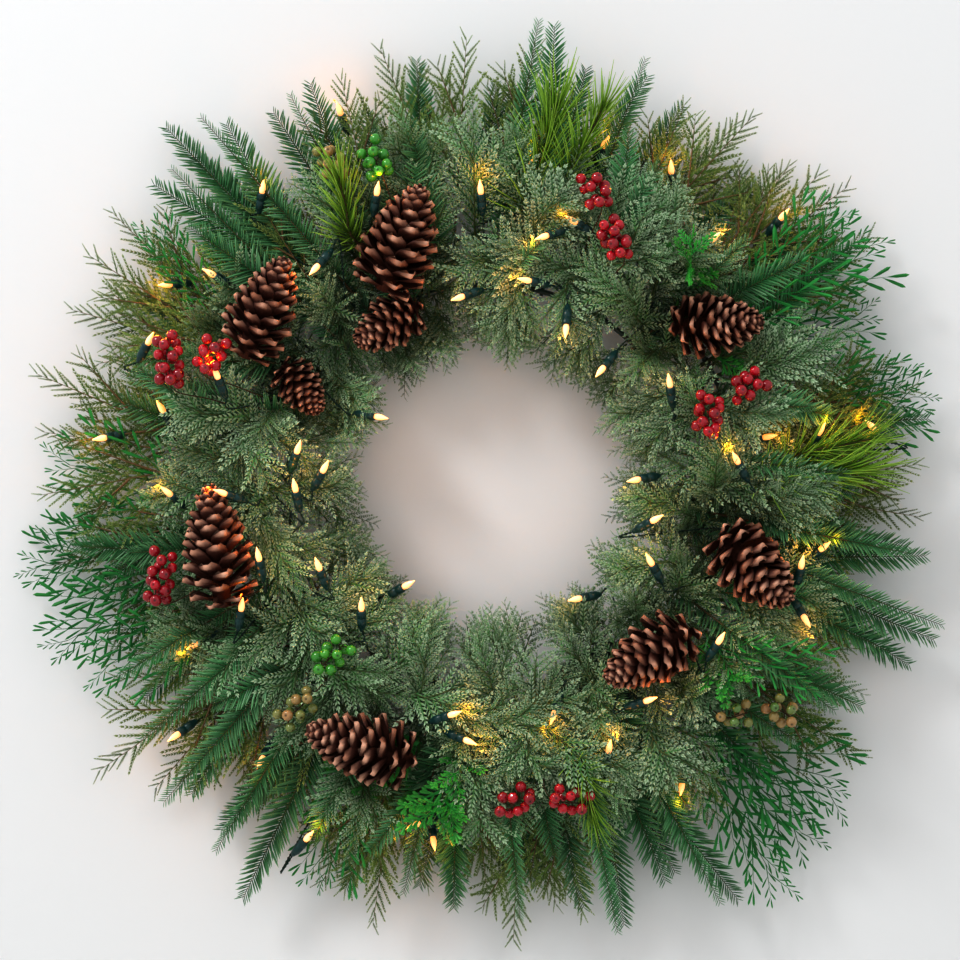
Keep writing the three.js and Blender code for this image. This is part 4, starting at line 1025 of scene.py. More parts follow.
# The side sprigs of a forked spray: their hand, where they leave its line, and their share of what is left.
SPRIGS = [(-1, 0.26, 0.74), (1, 0.4, 0.76), (-1, 0.56, 0.76)]
SPRIG_ANGLE = 0.52


def forked(sprays, draw):
    """Splits each spray into narrower sprigs: one down its middle and shorter ones on both sides."""
    sprigs = []
    for foot, tip, rise, width in sprays:
        sprigs.append((foot, tip, rise, width * 0.6))
        crest = foot.lerp(tip, CREST_AT)
        crest.y = min(foot.y, tip.y) - rise / 1000
        first_hand = draw.choice((-1, 1))
        for hand, at, share in SPRIGS:
            start = tucked(foot * (1 - at) ** 2 + crest * (2 * at * (1 - at)) + tip * at**2)
            turn = hand * first_hand * (SPRIG_ANGLE + draw.uniform(-0.12, 0.12))
            ahead = Matrix.Rotation(turn, 3, "Y") @ (tip - start)
            end = start + ahead * share + Vector((0, draw.uniform(-0.004, 0.01), 0))
            sprigs.append((start, end, rise * 0.25, width * 0.5))
    return sprigs


# The tree of every kind of spray: twigs or needles stand on both sides of each guide line, as long as the
# outline curve says, and a tapering stem runs under them.
SPRAY_INPUTS = dict(
    Twigs="Collection", Spacing="Float", Bare="Float", Angle="Float", Angle_at_Tip="Float", Droop="Float",
    Wobble="Float", Stem="Float", Seed="Int", Leaf="Material", Bark="Material",
)


def spray_tree(name, outline):
    """The tree for one kind of spray. Its outline lists (share of length, share of width)."""
    tree, given, result = tree_with(name, **SPRAY_INPUTS)

    curve = add(tree, "GeometryNodeMeshToCurve", Mesh=given["Guides"])
    even = add(
        tree, "GeometryNodeResampleCurve", {"mode": "LENGTH"}, Curve=curve.outputs[0],
        Length=given["Spacing"],
    )
    run = add(tree, "GeometryNodeSplineParameter")
    share = run.outputs["Factor"]
    tangent = add(tree, "GeometryNodeInputTangent").outputs[0]
    face = add(
        tree, "GeometryNodeInputNamedAttribute", {"data_type": "FLOAT_VECTOR"}, Name="facing",
    ).outputs[0]
    side = vectors(tree, "NORMALIZE", vectors(tree, "CROSS_PRODUCT", face, Vector_001=tangent))
    front = vectors(tree, "CROSS_PRODUCT", tangent, Vector_001=side)
    hand = maths(
        tree, "SUBTRACT", maths(tree, "MULTIPLY", maths(tree, "MODULO", run.outputs["Index"], 2.0), 2.0),
        1.0,
    )
    angle_range = add(
        tree, "ShaderNodeMapRange", Value=share, To_Min=given["Angle"], To_Max=given["Angle at Tip"],
    )
    angle = maths(tree, "ADD", angle_range.outputs[0], random_between(tree, -0.14, 0.14, given["Seed"]))
    ahead = vectors(tree, "SCALE", tangent, Scale=maths(tree, "COSINE", angle))
    aside = vectors(tree, "SCALE", side, Scale=maths(tree, "MULTIPLY", maths(tree, "SINE", angle), hand))
    back = vectors(tree, "SCALE", front, Scale=maths(tree, "MULTIPLY", given["Droop"], -1.0))
    heading = vectors(tree, "ADD", vectors(tree, "ADD", ahead, Vector_001=aside), Vector_001=back)
    placed = add(tree, "FunctionNodeAxesToRotation", {"primary_axis": "X", "secondary_axis": "Z"})
    link(tree, heading, placed.inputs[0])
    link(tree, front, placed.inputs[1])
    turn_draw = random_vector(tree, (1.0, 1.0, 0.3), given["Seed"])
    settled = turned_by(tree, placed, vectors(tree, "SCALE", turn_draw, Scale=given["Wobble"]))
    profile = add(tree, "ShaderNodeFloatCurve", Value=share)
    points = profile.mapping.curves[0].points
    for _ in outline[2:]:
        points.new(0.5, 0.5)
    for point, location in zip(points, outline):
        point.location = location
    wide = add(tree, "GeometryNodeInputNamedAttribute", {"data_type": "FLOAT"}, Name="wide").outputs[0]
    lateral = maths(tree, "DIVIDE", maths(tree, "MULTIPLY", wide, 0.5), maths(tree, "SINE", given["Angle"]))
    length_draw = random_between(tree, 0.78, 1.12, given["Seed"])
    twig_length = maths(tree, "MULTIPLY", maths(tree, "MULTIPLY", lateral, profile.outputs[0]), length_draw)
    twigs = add(
        tree, "GeometryNodeCollectionInfo", Collection=given["Twigs"], Separate_Children=True,
        Reset_Children=True,
    )
    pick = add(tree, "FunctionNodeRandomValue", {"data_type": "INT"}, Seed=given["Seed"])
    pick.inputs[4].default_value, pick.inputs[5].default_value = 0, 7
    leafy = maths(tree, "GREATER_THAN", share, given["Bare"])
    grown_on = add(
        tree, "GeometryNodeInstanceOnPoints", Points=even.outputs[0], Pick_Instance=True,
        Instance=twigs.outputs[0],
    )
    link(tree, leafy, grown_on.inputs["Selection"])
    link(tree, pick.outputs[2], grown_on.inputs["Instance Index"])
    link(tree, settled, grown_on.inputs["Rotation"])
    link(tree, twig_length, grown_on.inputs["Scale"])
    tone = add(tree, "GeometryNodeInputNamedAttribute", {"data_type": "FLOAT"}, Name="tone").outputs[0]
    tint_draw = random_between(tree, 0.0, 0.45, given["Seed"])
    tint = maths(tree, "ADD", maths(tree, "MULTIPLY", tone, 0.55), tint_draw)
    real = add(tree, "GeometryNodeRealizeInstances", Geometry=with_tint(tree, grown_on, tint))
    coloured = add(tree, "GeometryNodeSetMaterial", Geometry=real.outputs[0], Material=given["Leaf"])
    coarse = add(tree, "GeometryNodeResampleCurve", {"mode": "COUNT"}, Curve=curve.outputs[0], Count=9)
    stem_round = add(tree, "GeometryNodeCurvePrimitiveCircle", {"mode": "RADIUS"}, Resolution=4, Radius=1.0)
    taper = maths(tree, "MULTIPLY", maths(tree, "SUBTRACT", 1.15, share), given["Stem"])
    stem = add(
        tree, "GeometryNodeCurveToMesh", Curve=coarse.outputs[0], Profile_Curve=stem_round.outputs[0],
        Fill_Caps=True,
    )
    link(tree, taper, stem.inputs["Scale"])
    barked = add(tree, "GeometryNodeSetMaterial", Geometry=stem.outputs[0], Material=given["Bark"])
    both = add(tree, "GeometryNodeJoinGeometry")
    link(tree, coloured.outputs[0], both.inputs[0])
    link(tree, barked.outputs[0], both.inputs[0])
    place = add(
        tree, "ShaderNodeSeparateXYZ", Vector=add(tree, "GeometryNodeInputPosition").outputs[0],
    ).outputs
    before_wall = add(
        tree, "ShaderNodeCombineXYZ", X=place[0], Y=maths(tree, "MINIMUM", place[1], WALL_TOUCH), Z=place[2],
    )
    pressed = add(tree, "GeometryNodeSetPosition", Geometry=both.outputs[0], Position=before_wall.outputs[0])
    link(tree, pressed.outputs[0], result[0])
    return tree


class Cutting:
    """The flat twig of one kind of spray while it is cut: its leaves point along +X and face +Z."""

    def __init__(self, seed):
        self.vertices, self.faces, self.tips = [], [], []
        self.draw = random.Random(seed)

    def shape(self, root, heading, long, wide, outline, lift):
        """A flat shape with a tilt. The outline lists (share of long, share of wide, tip)."""
        along = Vector((math.cos(heading), math.sin(heading), 0))
        aside = Vector((-math.sin(heading), math.cos(heading), 0))
        rise = Vector((0, 0, self.draw.uniform(-lift, lift)))
        first = len(self.vertices)
        for share, width, tip in outline:
            bend = Vector((0, 0, -abs(width) * wide * 0.5))
            reach = (along + rise * share) * (long * share)
            self.vertices.append(root + reach + aside * (wide * width) + bend)
            self.tips.append(tip * (0.35 + 0.65 * root.x))
        self.faces += [(first, first + i, first + i + 1) for i in range(1, len(outline) - 1)]

    def point(self, root, heading, long, wide, lift=0.35):
        """The smallest leaf: one triangle."""
        self.shape(root, heading, long, wide, [(0, 0.5, 0.2), (0, -0.5, 0.2), (1, 0, 1)], lift)

    def leaflet(self, root, heading, long, wide, lift=0.14):
        """A small blunt leaf: two triangles."""
        self.shape(
            root, heading, long, wide, [(0, 0, 0.2), (0.45, -0.5, 0.6), (1, 0, 1), (0.45, 0.5, 0.6)], lift,
        )

    def lobe(self, root, heading, long, wide, lift=0.2):
        """A blunt leaf, broadest near its round end."""
        outline = [
            (0, 0, 0.1), (0.45, -0.42, 0.4), (0.85, -0.46, 0.8), (1, 0, 1), (0.85, 0.46, 0.8),
            (0.45, 0.42, 0.4),
        ]
        self.shape(root, heading, long, wide, outline, lift)

    def stalk(self, root, heading, long, wide):
        self.shape(root, heading, long, wide, [(0, 0.5, 0), (0, -0.5, 0), (1, 0, 0)], 0)

    def finish(self, name, collection):
        made = mesh_object(name, self.vertices, self.faces)
        made.data.attributes.new("reach", "FLOAT", "POINT").data.foreach_set("value", self.tips)
        bpy.context.scene.collection.objects.unlink(made)
        collection.objects.link(made)


def feather(cut, leaf):
    """A feathered twig of length 1: a stalk with pairs of small leaves that shorten towards its end."""
    cut.stalk(Vector((0, 0, 0)), 0, 0.96, leaf["stalk"])
    for i in range(leaf["pairs"]):
        share = (i + 0.5) / leaf["pairs"]
        for hand in (-1, 1):
            heading = hand * leaf["angle"] * (1 - 0.35 * share) + cut.draw.uniform(-0.08, 0.08)
            long = leaf["long"] * (1.15 - 0.6 * share) * cut.draw.uniform(0.9, 1.15)
            leaf["cut"](cut, Vector((share * 0.92, 0, 0)), heading, long, leaf["wide"])
    leaf["cut"](cut, Vector((0.88, 0, 0)), 0, leaf["long"] * 0.8, leaf["wide"])


def twig_collection(name, variants, cut_one):
    """A collection of a few cut twigs for the tree to draw from."""
    collection = bpy.data.collections.new(name)
    bpy.context.scene.collection.children.link(collection)
    for variant in range(variants):
        cut = Cutting(variant + 11)
        cut_one(cut)
        cut.finish(name + "_" + str(variant), collection)
    return collection


DEEP_LEAF = 0.5  # how much of its colour a leaf keeps at the back of the wreath
DARK_FROM, LIGHT_FROM = -0.015, -0.085  # where along Y the darkening is full, and where it ends


def leaf_material(name, shade, body, tip, roughness=0.52):
    """Moulded polyethylene leaves: two body colours that sprays are drawn between, and paler ends.

    Leaves deep in the wreath are made darker, in place of shade from layers that this scene doesn't have.
    """
    material, tree, shader = material_with(name, Roughness=roughness, Specular_IOR_Level=0.3)
    tint = add(tree, "ShaderNodeAttribute", {"attribute_name": "tint"})
    reach = add(tree, "ShaderNodeAttribute", {"attribute_name": "reach"})
    place = add(tree, "ShaderNodeTexCoord").outputs["Object"]
    patches = add(tree, "ShaderNodeTexNoise", Vector=place, Scale=30.0, Detail=2.0)
    drawn = add(
        tree, "ShaderNodeMath", {"operation": "MULTIPLY_ADD"}, Value=patches.outputs["Fac"], Value_001=0.7,
    )
    link(tree, tint.outputs["Fac"], drawn.inputs[2])
    spread = add(tree, "ShaderNodeMapRange", Value=drawn.outputs[0], From_Min=0.2, From_Max=1.2).outputs[0]
    depth = add(tree, "ShaderNodeSeparateXYZ", Vector=place).outputs["Y"]
    ramp = {"From_Min": DARK_FROM, "From_Max": LIGHT_FROM, "To_Min": DEEP_LEAF, "To_Max": 1.0}
    front = add(tree, "ShaderNodeMapRange", Value=depth, **ramp).outputs[0]
    leaf = blend(tree, linear(shade), linear(body), maths(tree, "MULTIPLY", spread, front))
    paler = blend(tree, leaf, linear(tip), maths(tree, "MULTIPLY", reach.outputs["Fac"], front))
    link(tree, paler, shader.inputs["Base Color"])
    fine = add(tree, "ShaderNodeTexNoise", Vector=place, Scale=900.0).outputs["Fac"]
    roughened(tree, shader, fine, 0.0002, 0.4)
    return material


def bark_material(name, one, other):
    """A moulded stem, coloured like bark."""
    return mottled(name, one, other, 200.0, 3.0, Roughness=0.7)


CEDAR_LEAF = dict(cut=Cutting.leaflet, long=0.205, wide=0.058, stalk=0.045, angle=0.7, pairs=7)
CEDAR_OUTLINE = [(0, 0.5), (0.18, 0.95), (0.4, 1.0), (0.75, 0.6), (1, 0.2)]
CEDAR_BOUGHS = {
    "cedar_bough_8": (-32, [(-29, 402, 40, 14, 80), (-36, 394, 18, 14, 76)]),
    "cedar_front_1": (84, [(86, 330, 84, 30, 84), (72, 280, 112, 26, 80), (82, 112, 56, 46, 76)]),
    "cedar_front_2": (56, [(58, 336, 76, 34, 84), (52, 270, 110, 26, 80), (57, 116, 50, 48, 76)]),
    "cedar_front_3": (26, [(22, 326, 80, 30, 84), (18, 270, 108, 26, 78), (28, 112, 58, 46, 76)]),
    "cedar_front_4": (-4, [(-3, 318, 80, 32, 84), (-8, 118, 74, 46, 78), (5, 108, 40, 40, 66)]),
    "cedar_front_5": (-26, [(-26, 326, 84, 32, 84), (-34, 118, 70, 42, 78)]),
    "cedar_front_6": (-56, [(-58, 330, 82, 34, 84), (-62, 116, 60, 42, 78), (-48, 122, 30, 36, 64)]),
    "cedar_front_7": (-86, [(-84, 320, 80, 34, 84), (-90, 110, 66, 44, 78), (-76, 284, 108, 30, 78)]),
    "cedar_front_8": (-116, [(-112, 326, 74, 34, 84), (-114, 112, 58, 44, 76)]),
    "cedar_front_9": (-146, [(-146, 332, 78, 30, 84), (-144, 116, 68, 44, 78), (-130, 120, 30, 36, 64)]),
    "cedar_front_10": (180, [(182, 326, 74, 32, 84), (180, 118, 74, 46, 78), (166, 124, 44, 36, 66)]),
    "cedar_front_11": (146, [(152, 320, 100, 24, 80), (150, 126, 84, 44, 76)]),
    "cedar_front_12": (110, [(106, 326, 80, 32, 84), (110, 114, 60, 46, 76)]),
}

cedar_leaf = leaf_material("moulded_polyethylene_cedar", "#0e2a12", "#4e8446", "#cde2c4", roughness=0.46)
cedar_stem = bark_material("moulded_cedar_stem", "#3c5a2e", "#54603a")
cedar_twigs = twig_collection("cedar_twigs", 4, lambda cut: feather(cut, CEDAR_LEAF))
cedar_tree = spray_tree("cedar_spray", CEDAR_OUTLINE)
CEDAR = dict(
    Twigs=cedar_twigs, Spacing=0.0046, Bare=0.06, Angle=0.74, Angle_at_Tip=0.5, Droop=0.1, Wobble=0.1,
    Stem=0.0009, Leaf=cedar_leaf, Bark=cedar_stem,
)


def hang(piece, slot, *nodes):
    """Puts a finished piece on the wreath's root body and hides the nodes it stands for. Its slot is not
    used.
    """
    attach(piece, "root")
    if nodes:
        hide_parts(*nodes)


def filling(count, first_angle, foot_radius, tip_radius, depth, rise, width, turn, draw):
    """A ring of sprays laid by rule. Each range is (least, most); turn is the lean along the ring."""
    sprays = []
    for i in range(count):
        angle = first_angle + 360 * (i + draw.uniform(-0.3, 0.3)) / count
        foot = around(angle, draw.uniform(*foot_radius), STEM_DEPTH)
        tip = around(angle + draw.uniform(*turn), draw.uniform(*tip_radius), draw.uniform(*depth))
        sprays.append((foot, tip, draw.uniform(*rise), draw.uniform(*width)))
    return sprays


def lay_boughs(boughs, first_seed, tree, settings, slot, is_forked=False):
    """Grows the sprays of each bough and hangs them in the place of its node."""
    for index, (node, (slot_angle, tips)) in enumerate(boughs.items()):
        draw = random.Random(first_seed + index)
        sprays = bough_sprays(slot_angle, tips)
        if is_forked:
            sprays = forked(sprays, draw)
        guides = spray_guides("guides", sprays, draw)
        hang(grown(node + "_sprays", guides, tree, Seed=index, **settings), slot, node)


def laid_by_hand(rows, foot_radius, width_share=1):
    """Sprays from rows of the foot's angle, then the tip's angle, radius, depth, rise and width."""
    sprays = []
    for foot, degrees, radius, depth, rise, width in rows:
        root = around(foot, foot_radius, STEM_DEPTH)
        sprays.append((root, around(degrees, radius, depth), rise, width * width_share))
    return sprays


lay_boughs(CEDAR_BOUGHS, 100, cedar_tree, CEDAR, "cedar", is_forked=True)

draw = random.Random(7)
cedar_layers = {
    "cedar_shoulders": filling(36, 3, (205, 240), (306, 372), (54, 90), (24, 42), (76, 96), (-12, 12), draw),
    "cedar_crown": filling(30, 1, (182, 205), (270, 326), (88, 118), (20, 34), (74, 90), (-18, 18), draw),
    "cedar_crest": filling(28, 7, (206, 236), (196, 240), (90, 114), (18, 34), (68, 84), (24, 38), draw),
    "cedar_lining": filling(28, 5, (228, 243), (112, 146), (62, 98), (34, 50), (68, 84), (-14, 14), draw),
    "cedar_hem": filling(22, 0, (182, 196), (108, 132), (18, 48), (20, 34), (60, 74), (-20, 20), draw),
}
for index, (name, sprays) in enumerate(cedar_layers.items()):
    draw = random.Random(200 + index)
    guides = spray_guides("guides", forked(sprays, draw), draw)
    hang(grown(name, guides, cedar_tree, Seed=50 + index, **CEDAR), "cedar")

# ---------------------------------------------------------------- cypress
# Open plumes of moulded polyethylene on brownish stems, olive and finely feathered. Most of the rim is this.

CYPRESS_LEAF = dict(cut=Cutting.point, long=0.155, wide=0.05, stalk=0.036, angle=0.6, pairs=9)
CYPRESS_OUTLINE = [(0, 0.3), (0.25, 0.8), (0.5, 1.0), (0.8, 0.66), (1, 0.34)]
CYPRESS_BOUGHS = {
    "cypress_bough_2": (60, [(63, 402, 40, 12, 80), (56, 412, 16, 14, 84)]),
    "cypress_bough_3": (43, [(47, 412, 34, 12, 80), (40, 438, 20, 14, 86)]),
    "cypress_bough_5": (14, [(17, 398, 36, 12, 84), (9, 404, 18, 12, 84)]),
    "cypress_bough_6": (0, [(3, 402, 38, 10, 84), (-4, 406, 16, 12, 84)]),
    "cypress_bough_11": (-83, [(-81, 396, 40, 12, 80), (-87, 428, 18, 14, 84)]),
    "cypress_bough_13": (-110, [(-105, 424, 34, 12, 84), (-113, 408, 16, 14, 84)]),
    "cypress_bough_15": (-143, [(-138, 424, 16, 12, 82), (-144, 452, 36, 14, 86)]),
    "cypress_bough_17": (174, [(181, 420, 36, 12, 84), (173, 424, 14, 12, 82), (166, 438, 34, 12, 84)]),
    "cypress_bough_18": (152, [(157, 428, 16, 12, 82), (150, 434, 34, 12, 82), (144, 440, 16, 12, 82)]),
    "cypress_bough_21": (98, [(104, 426, 16, 12, 84), (93, 420, 34, 12, 84)]),
}

cypress_leaf = leaf_material("moulded_polyethylene_cypress", "#20380f", "#668a3a", "#c0cf84")
cypress_stem = bark_material("moulded_cypress_stem", "#5b4a30", "#7a6340")
cypress_twigs = twig_collection("cypress_twigs", 4, lambda cut: feather(cut, CYPRESS_LEAF))
cypress_tree = spray_tree("cypress_spray", CYPRESS_OUTLINE)
CYPRESS = dict(
    Twigs=cypress_twigs, Spacing=0.0052, Bare=0.12, Angle=0.66, Angle_at_Tip=0.42, Droop=0.08, Wobble=0.3,
    Stem=0.0011, Leaf=cypress_leaf, Bark=cypress_stem,
)

lay_boughs(CYPRESS_BOUGHS, 300, cypress_tree, CYPRESS, "cypress", is_forked=True)

draw = random.Random(17)
cypress_rim = filling(26, 4, (228, 243), (356, 430), (14, 52), (10, 26), (84, 100), (-7, 7), draw)
guides = spray_guides("guides", forked(cypress_rim, draw), draw)
hang(grown("cypress_rim", guides, cypress_tree, Seed=60, **CYPRESS), "cypress")

# ---------------------------------------------------------------- fir
# Long combs of flat needles, dark blue-green, in two ranks on the stem: narrow, stiff and slightly arched.

FIR_OUTLINE = [(0, 0.5), (0.12, 0.95), (0.4, 1.0), (0.8, 0.7), (1, 0.32)]
FIR_BOUGHS = {
    "fir_bough_1": (78, [(82, 436, 40, 20, 44), (77, 404, 22, 12, 42), (69, 412, 36, 16, 42)]),
    "fir_bough_7": (-16, [(-9, 414, 34, 12, 44), (-19, 440, 38, 14, 46), (-23, 430, 16, 14, 46)]),
    "fir_bough_10": (-65, [(-59, 454, 22, 16, 46), (-66, 404, 40, 14, 44), (-73, 432, 20, 16, 46)]),
    "fir_bough_12": (-97, [(-95, 396, 38, 14, 44), (-100, 382, 20, 12, 42)]),
    "fir_bough_14": (-125, [(-121, 450, 36, 14, 46), (-128, 412, 16, 14, 46)]),
    "fir_bough_19": (131, [(138, 424, 36, 14, 46), (132, 456, 18, 14, 46), (126, 420, 38, 14, 46)]),
    "fir_bough_20": (118, [(120, 408, 16, 12, 44), (114, 414, 36, 12, 44)]),
}


def needle(cut, long, wide, curl):
    """One flat needle with a midrib: a strip that swells, curls and ends in a blunt point."""
    first = len(cut.vertices)
    for share, width in ((0, 0.45), (0.35, 1.0), (0.75, 0.8)):
        side = wide * width / 2
        at = Vector((long * share, curl * share * share, cut.draw.uniform(-0.02, 0.02)))
        cut.vertices += [
            at + Vector((0, -side, 0)), at + Vector((0, 0, wide * 0.35)), at + Vector((0, side, 0)),
        ]
        cut.tips += [share * 0.6] * 3
    cut.vertices.append(Vector((long, curl, 0)))
    cut.tips.append(0.8)
    for row in (0, 3):
        for column in (0, 1):
            a = first + row + column
            cut.faces.append((a, a + 1, a + 4, a + 3)[::-1])
    cut.faces += [(first + 7, first + 6, first + 9)[::-1], (first + 8, first + 7, first + 9)[::-1]]


fir_leaf = leaf_material("moulded_polyethylene_fir", "#0f361d", "#2f7a44", "#96ce9a", roughness=0.4)
fir_stem = bark_material("moulded_fir_stem", "#4a4a2c", "#5d4a2e")
fir_twigs = twig_collection("fir_twigs", 3, lambda cut: needle(cut, 1, 0.105, cut.draw.uniform(-0.05, 0.05)))
fir_tree = spray_tree("fir_spray", FIR_OUTLINE)
FIR = dict(
    Twigs=fir_twigs, Spacing=0.0014, Bare=0.05, Angle=1.0, Angle_at_Tip=0.7, Droop=-0.1, Wobble=0.18,
    Stem=0.0013, Leaf=fir_leaf, Bark=fir_stem,
)

# Combs that lie over the other sprays.
MORE_FIR = [
    (
        124, 128, 436, 62, 30, 44,
    ), (116, 117, 408, 70, 26, 42), (136, 135, 420, 50, 24, 42), (112, 108, 352, 84, 24, 40),
    (
        90, 84, 436, 60, 24, 46,
    ), (70, 70, 424, 56, 30, 42), (80, 77, 392, 72, 26, 40), (66, 62, 356, 84, 24, 40),
    (
        -142, -136, 420, 74, 36, 48,
    ), (-150, -144, 400, 78, 34, 48), (-158, -153, 384, 82, 32, 46), (-134, -127, 424, 60, 30, 46),
    (-68, -74, 430, 66, 30, 44), (-60, -61, 444, 52, 28, 44), (-88, -86, 400, 70, 26, 42), (
        -100, -102, 386, 66, 26, 42,
    ),
    (
        -12, -17, 440, 60, 26, 44,
    ), (-6, -9, 396, 72, 28, 44), (10, 2, 330, 92, 28, 42), (24, 14, 306, 100, 24, 40),
    (88, 76, 246, 124, 22, 38), (44, 44, 330, 92, 26, 40), (
        160, 163, 356, 80, 26, 42,
    ), (-28, -33, 380, 78, 28, 42),
]
more_fir = laid_by_hand(MORE_FIR, STEM_INNER, 0.74)
hang(grown("fir_top", spray_guides("guides", more_fir, random.Random(430)), fir_tree, Seed=90, **FIR), "fir")

lay_boughs(FIR_BOUGHS, 400, fir_tree, FIR, "fir")

draw = random.Random(27)
fir_layers = {
    "fir_rim": filling(28, 2, (228, 243), (350, 424), (12, 44), (10, 24), (40, 48), (-8, 8), draw),
    "fir_shoulders": filling(20, 9, (215, 240), (320, 372), (44, 84), (18, 34), (40, 46), (-12, 12), draw),
}
for index, (name, sprays) in enumerate(fir_layers.items()):
    guides = spray_guides("guides", sprays, random.Random(420 + index))
    hang(grown(name, guides, fir_tree, Seed=70 + index, **FIR), "fir")

# ---------------------------------------------------------------- yew
# Open bright green sprays: long forked leaflets moulded on slim dark green stems, with air between them.

YEW_OUTLINE = [(0, 0.55), (0.25, 0.9), (0.55, 1.0), (0.85, 0.6), (1, 0.4)]
YEW_BOUGHS = {
    "yew_bough_4": (30, [(33, 410, 34, 10, 92), (25, 384, 14, 12, 80)]),
    "yew_bough_9": (-48, [(-42, 428, 30, 12, 88), (-48, 440, 16, 12, 90), (-54, 452, 36, 12, 88)]),
    "yew_bough_16": (-166, [(-160, 422, 34, 10, 88), (-170, 430, 18, 12, 88)]),
}


def forked_twig(cut):
    """A slim side stem with a few long narrow leaves, each a little nearer to the stem than the last."""
    cut.stalk(Vector((0, 0, 0)), 0, 0.95, 0.026)
    for i in range(6):
        share = 0.16 + 0.13 * i
        hand = 1 - 2 * (i % 2)
        heading = hand * (0.56 - 0.2 * share) + cut.draw.uniform(-0.06, 0.06)
        long = 0.4 * (1 - 0.4 * share) * cut.draw.uniform(0.85, 1.15)
        cut.lobe(Vector((share, 0, 0)), heading, long, 0.042)
    cut.lobe(Vector((0.86, 0, 0)), 0, 0.26, 0.042)


yew_leaf = leaf_material("moulded_polyethylene_yew", "#0c4c20", "#1c8038", "#44a454", roughness=0.4)
yew_stem = bark_material("moulded_yew_stem", "#2c4a26", "#3f5c2c")
yew_twigs = twig_collection("yew_twigs", 3, forked_twig)
yew_tree = spray_tree("yew_spray", YEW_OUTLINE)
YEW = dict(
    Twigs=yew_twigs, Spacing=0.013, Bare=0.16, Angle=0.56, Angle_at_Tip=0.38, Droop=0.02, Wobble=0.07,
    Stem=0.0012, Leaf=yew_leaf, Bark=yew_stem,
)

lay_boughs(YEW_BOUGHS, 500, yew_tree, YEW, "yew")

# Where more yew shows among the rest.
MORE_YEW = [
    (
        -178, 177, 396, 30, 12, 84,
    ), (-172, 187, 404, 22, 10, 80), (-152, 205, 392, 52, 16, 80), (36, 38, 400, 60, 20, 84),
    (20, 15, 392, 40, 12, 80), (8, 12, 408, 26, 10, 76), (-36, -31, 330, 100, 24, 80),
    (-120, -114, 392, 40, 14, 76), (150, 143, 388, 46, 12, 76),
]
more_yew = laid_by_hand(MORE_YEW, STEM_OUTER)
hang(grown("yew_rim", spray_guides("guides", more_yew, random.Random(520)), yew_tree, Seed=80, **YEW), "yew")

# ---------------------------------------------------------------- arborvitae
# Bright green fans of thick scale leaves, forked again and again like the fingers of a hand. They lie on top.

ARBORVITAE_OUTLINE = [(0, 0.45), (0.3, 0.9), (0.6, 1.0), (0.85, 0.7), (1, 0.45)]
ARBORVITAE_BOUGHS = {
    "arborvitae_accent_1": (-106, [(-103, 290, 128, 30, 76), (-112, 304, 116, 32, 76)]),
    "arborvitae_accent_2": (30, [(28, 256, 132, 26, 70)]),
}


def scaly_twig(cut):
    """A side branch, forked into blunt lobes that fork once more."""
    cut.stalk(Vector((0, 0, 0)), 0, 0.9, 0.07)
    for i in range(5):
        share = 0.14 + 0.16 * i
        for hand in (-1, 1):
            heading = hand * (0.62 - 0.2 * share) + cut.draw.uniform(-0.08, 0.08)
            long = 0.36 * (1 - 0.5 * share) * cut.draw.uniform(0.9, 1.1)
            root = Vector((share, 0, 0))
            cut.lobe(root, heading, long, 0.066)
            fork = root + Vector((math.cos(heading), math.sin(heading), 0)) * (long * 0.4)
            cut.lobe(fork, heading + hand * 0.5, long * 0.55, 0.06)
    cut.lobe(Vector((0.8, 0, 0)), 0, 0.24, 0.066)


arborvitae_leaf = leaf_material(
    "moulded_polyethylene_arborvitae", "#18682a", "#2a943a", "#62c058", roughness=0.36,
)
arborvitae_stem = bark_material("moulded_arborvitae_stem", "#3c7a34", "#4d8a3c")
arborvitae_twigs = twig_collection("arborvitae_twigs", 3, scaly_twig)
arborvitae_tree = spray_tree("arborvitae_spray", ARBORVITAE_OUTLINE)
ARBORVITAE = dict(
    Twigs=arborvitae_twigs, Spacing=0.009, Bare=0.12, Angle=0.7, Angle_at_Tip=0.5, Droop=0.06, Wobble=0.2,
    Stem=0.0014, Leaf=arborvitae_leaf, Bark=arborvitae_stem,
)

lay_boughs(ARBORVITAE_BOUGHS, 600, arborvitae_tree, ARBORVITAE, "arborvitae")

# More fans that lie on top.
MORE_ARBORVITAE = [
    (44, 50, 286, 122, 22, 62), (40, 41, 270, 122, 22, 58), (-34, -39, 284, 120, 22, 60), (
        -94, -100, 316, 110, 34, 64,
    ),
]
guides = spray_guides("guides", laid_by_hand(MORE_ARBORVITAE, STEM_OUTER), random.Random(620))
hang(grown("arborvitae_top", guides, arborvitae_tree, Seed=95, **ARBORVITAE), "arborvitae")

# ---------------------------------------------------------------- pine tufts
# Soft brushes of long round needles cut from PVC film, yellow-green, standing out all round a short twig.

PINE_TUFTS = [
    ("pine_tuft_1", 80, (36, 262, 70), (62, 352, 80), 150, 60),
    ("pine_tuft_2", 4, (262, 10, 74), (340, 16, 84), 150, 58),
    ("pine_tuft_3", 116, (-128, 232, 78), (-138, 284, 104), 120, 46),
    (None, 80, (78, 300, 84), (106, 352, 76), 130, 48),
    (None, -80, (84, -262, 98), (96, -306, 92), 90, 40),
    (None, 0, (286, 30, 84), (352, 44, 78), 110, 50),
]

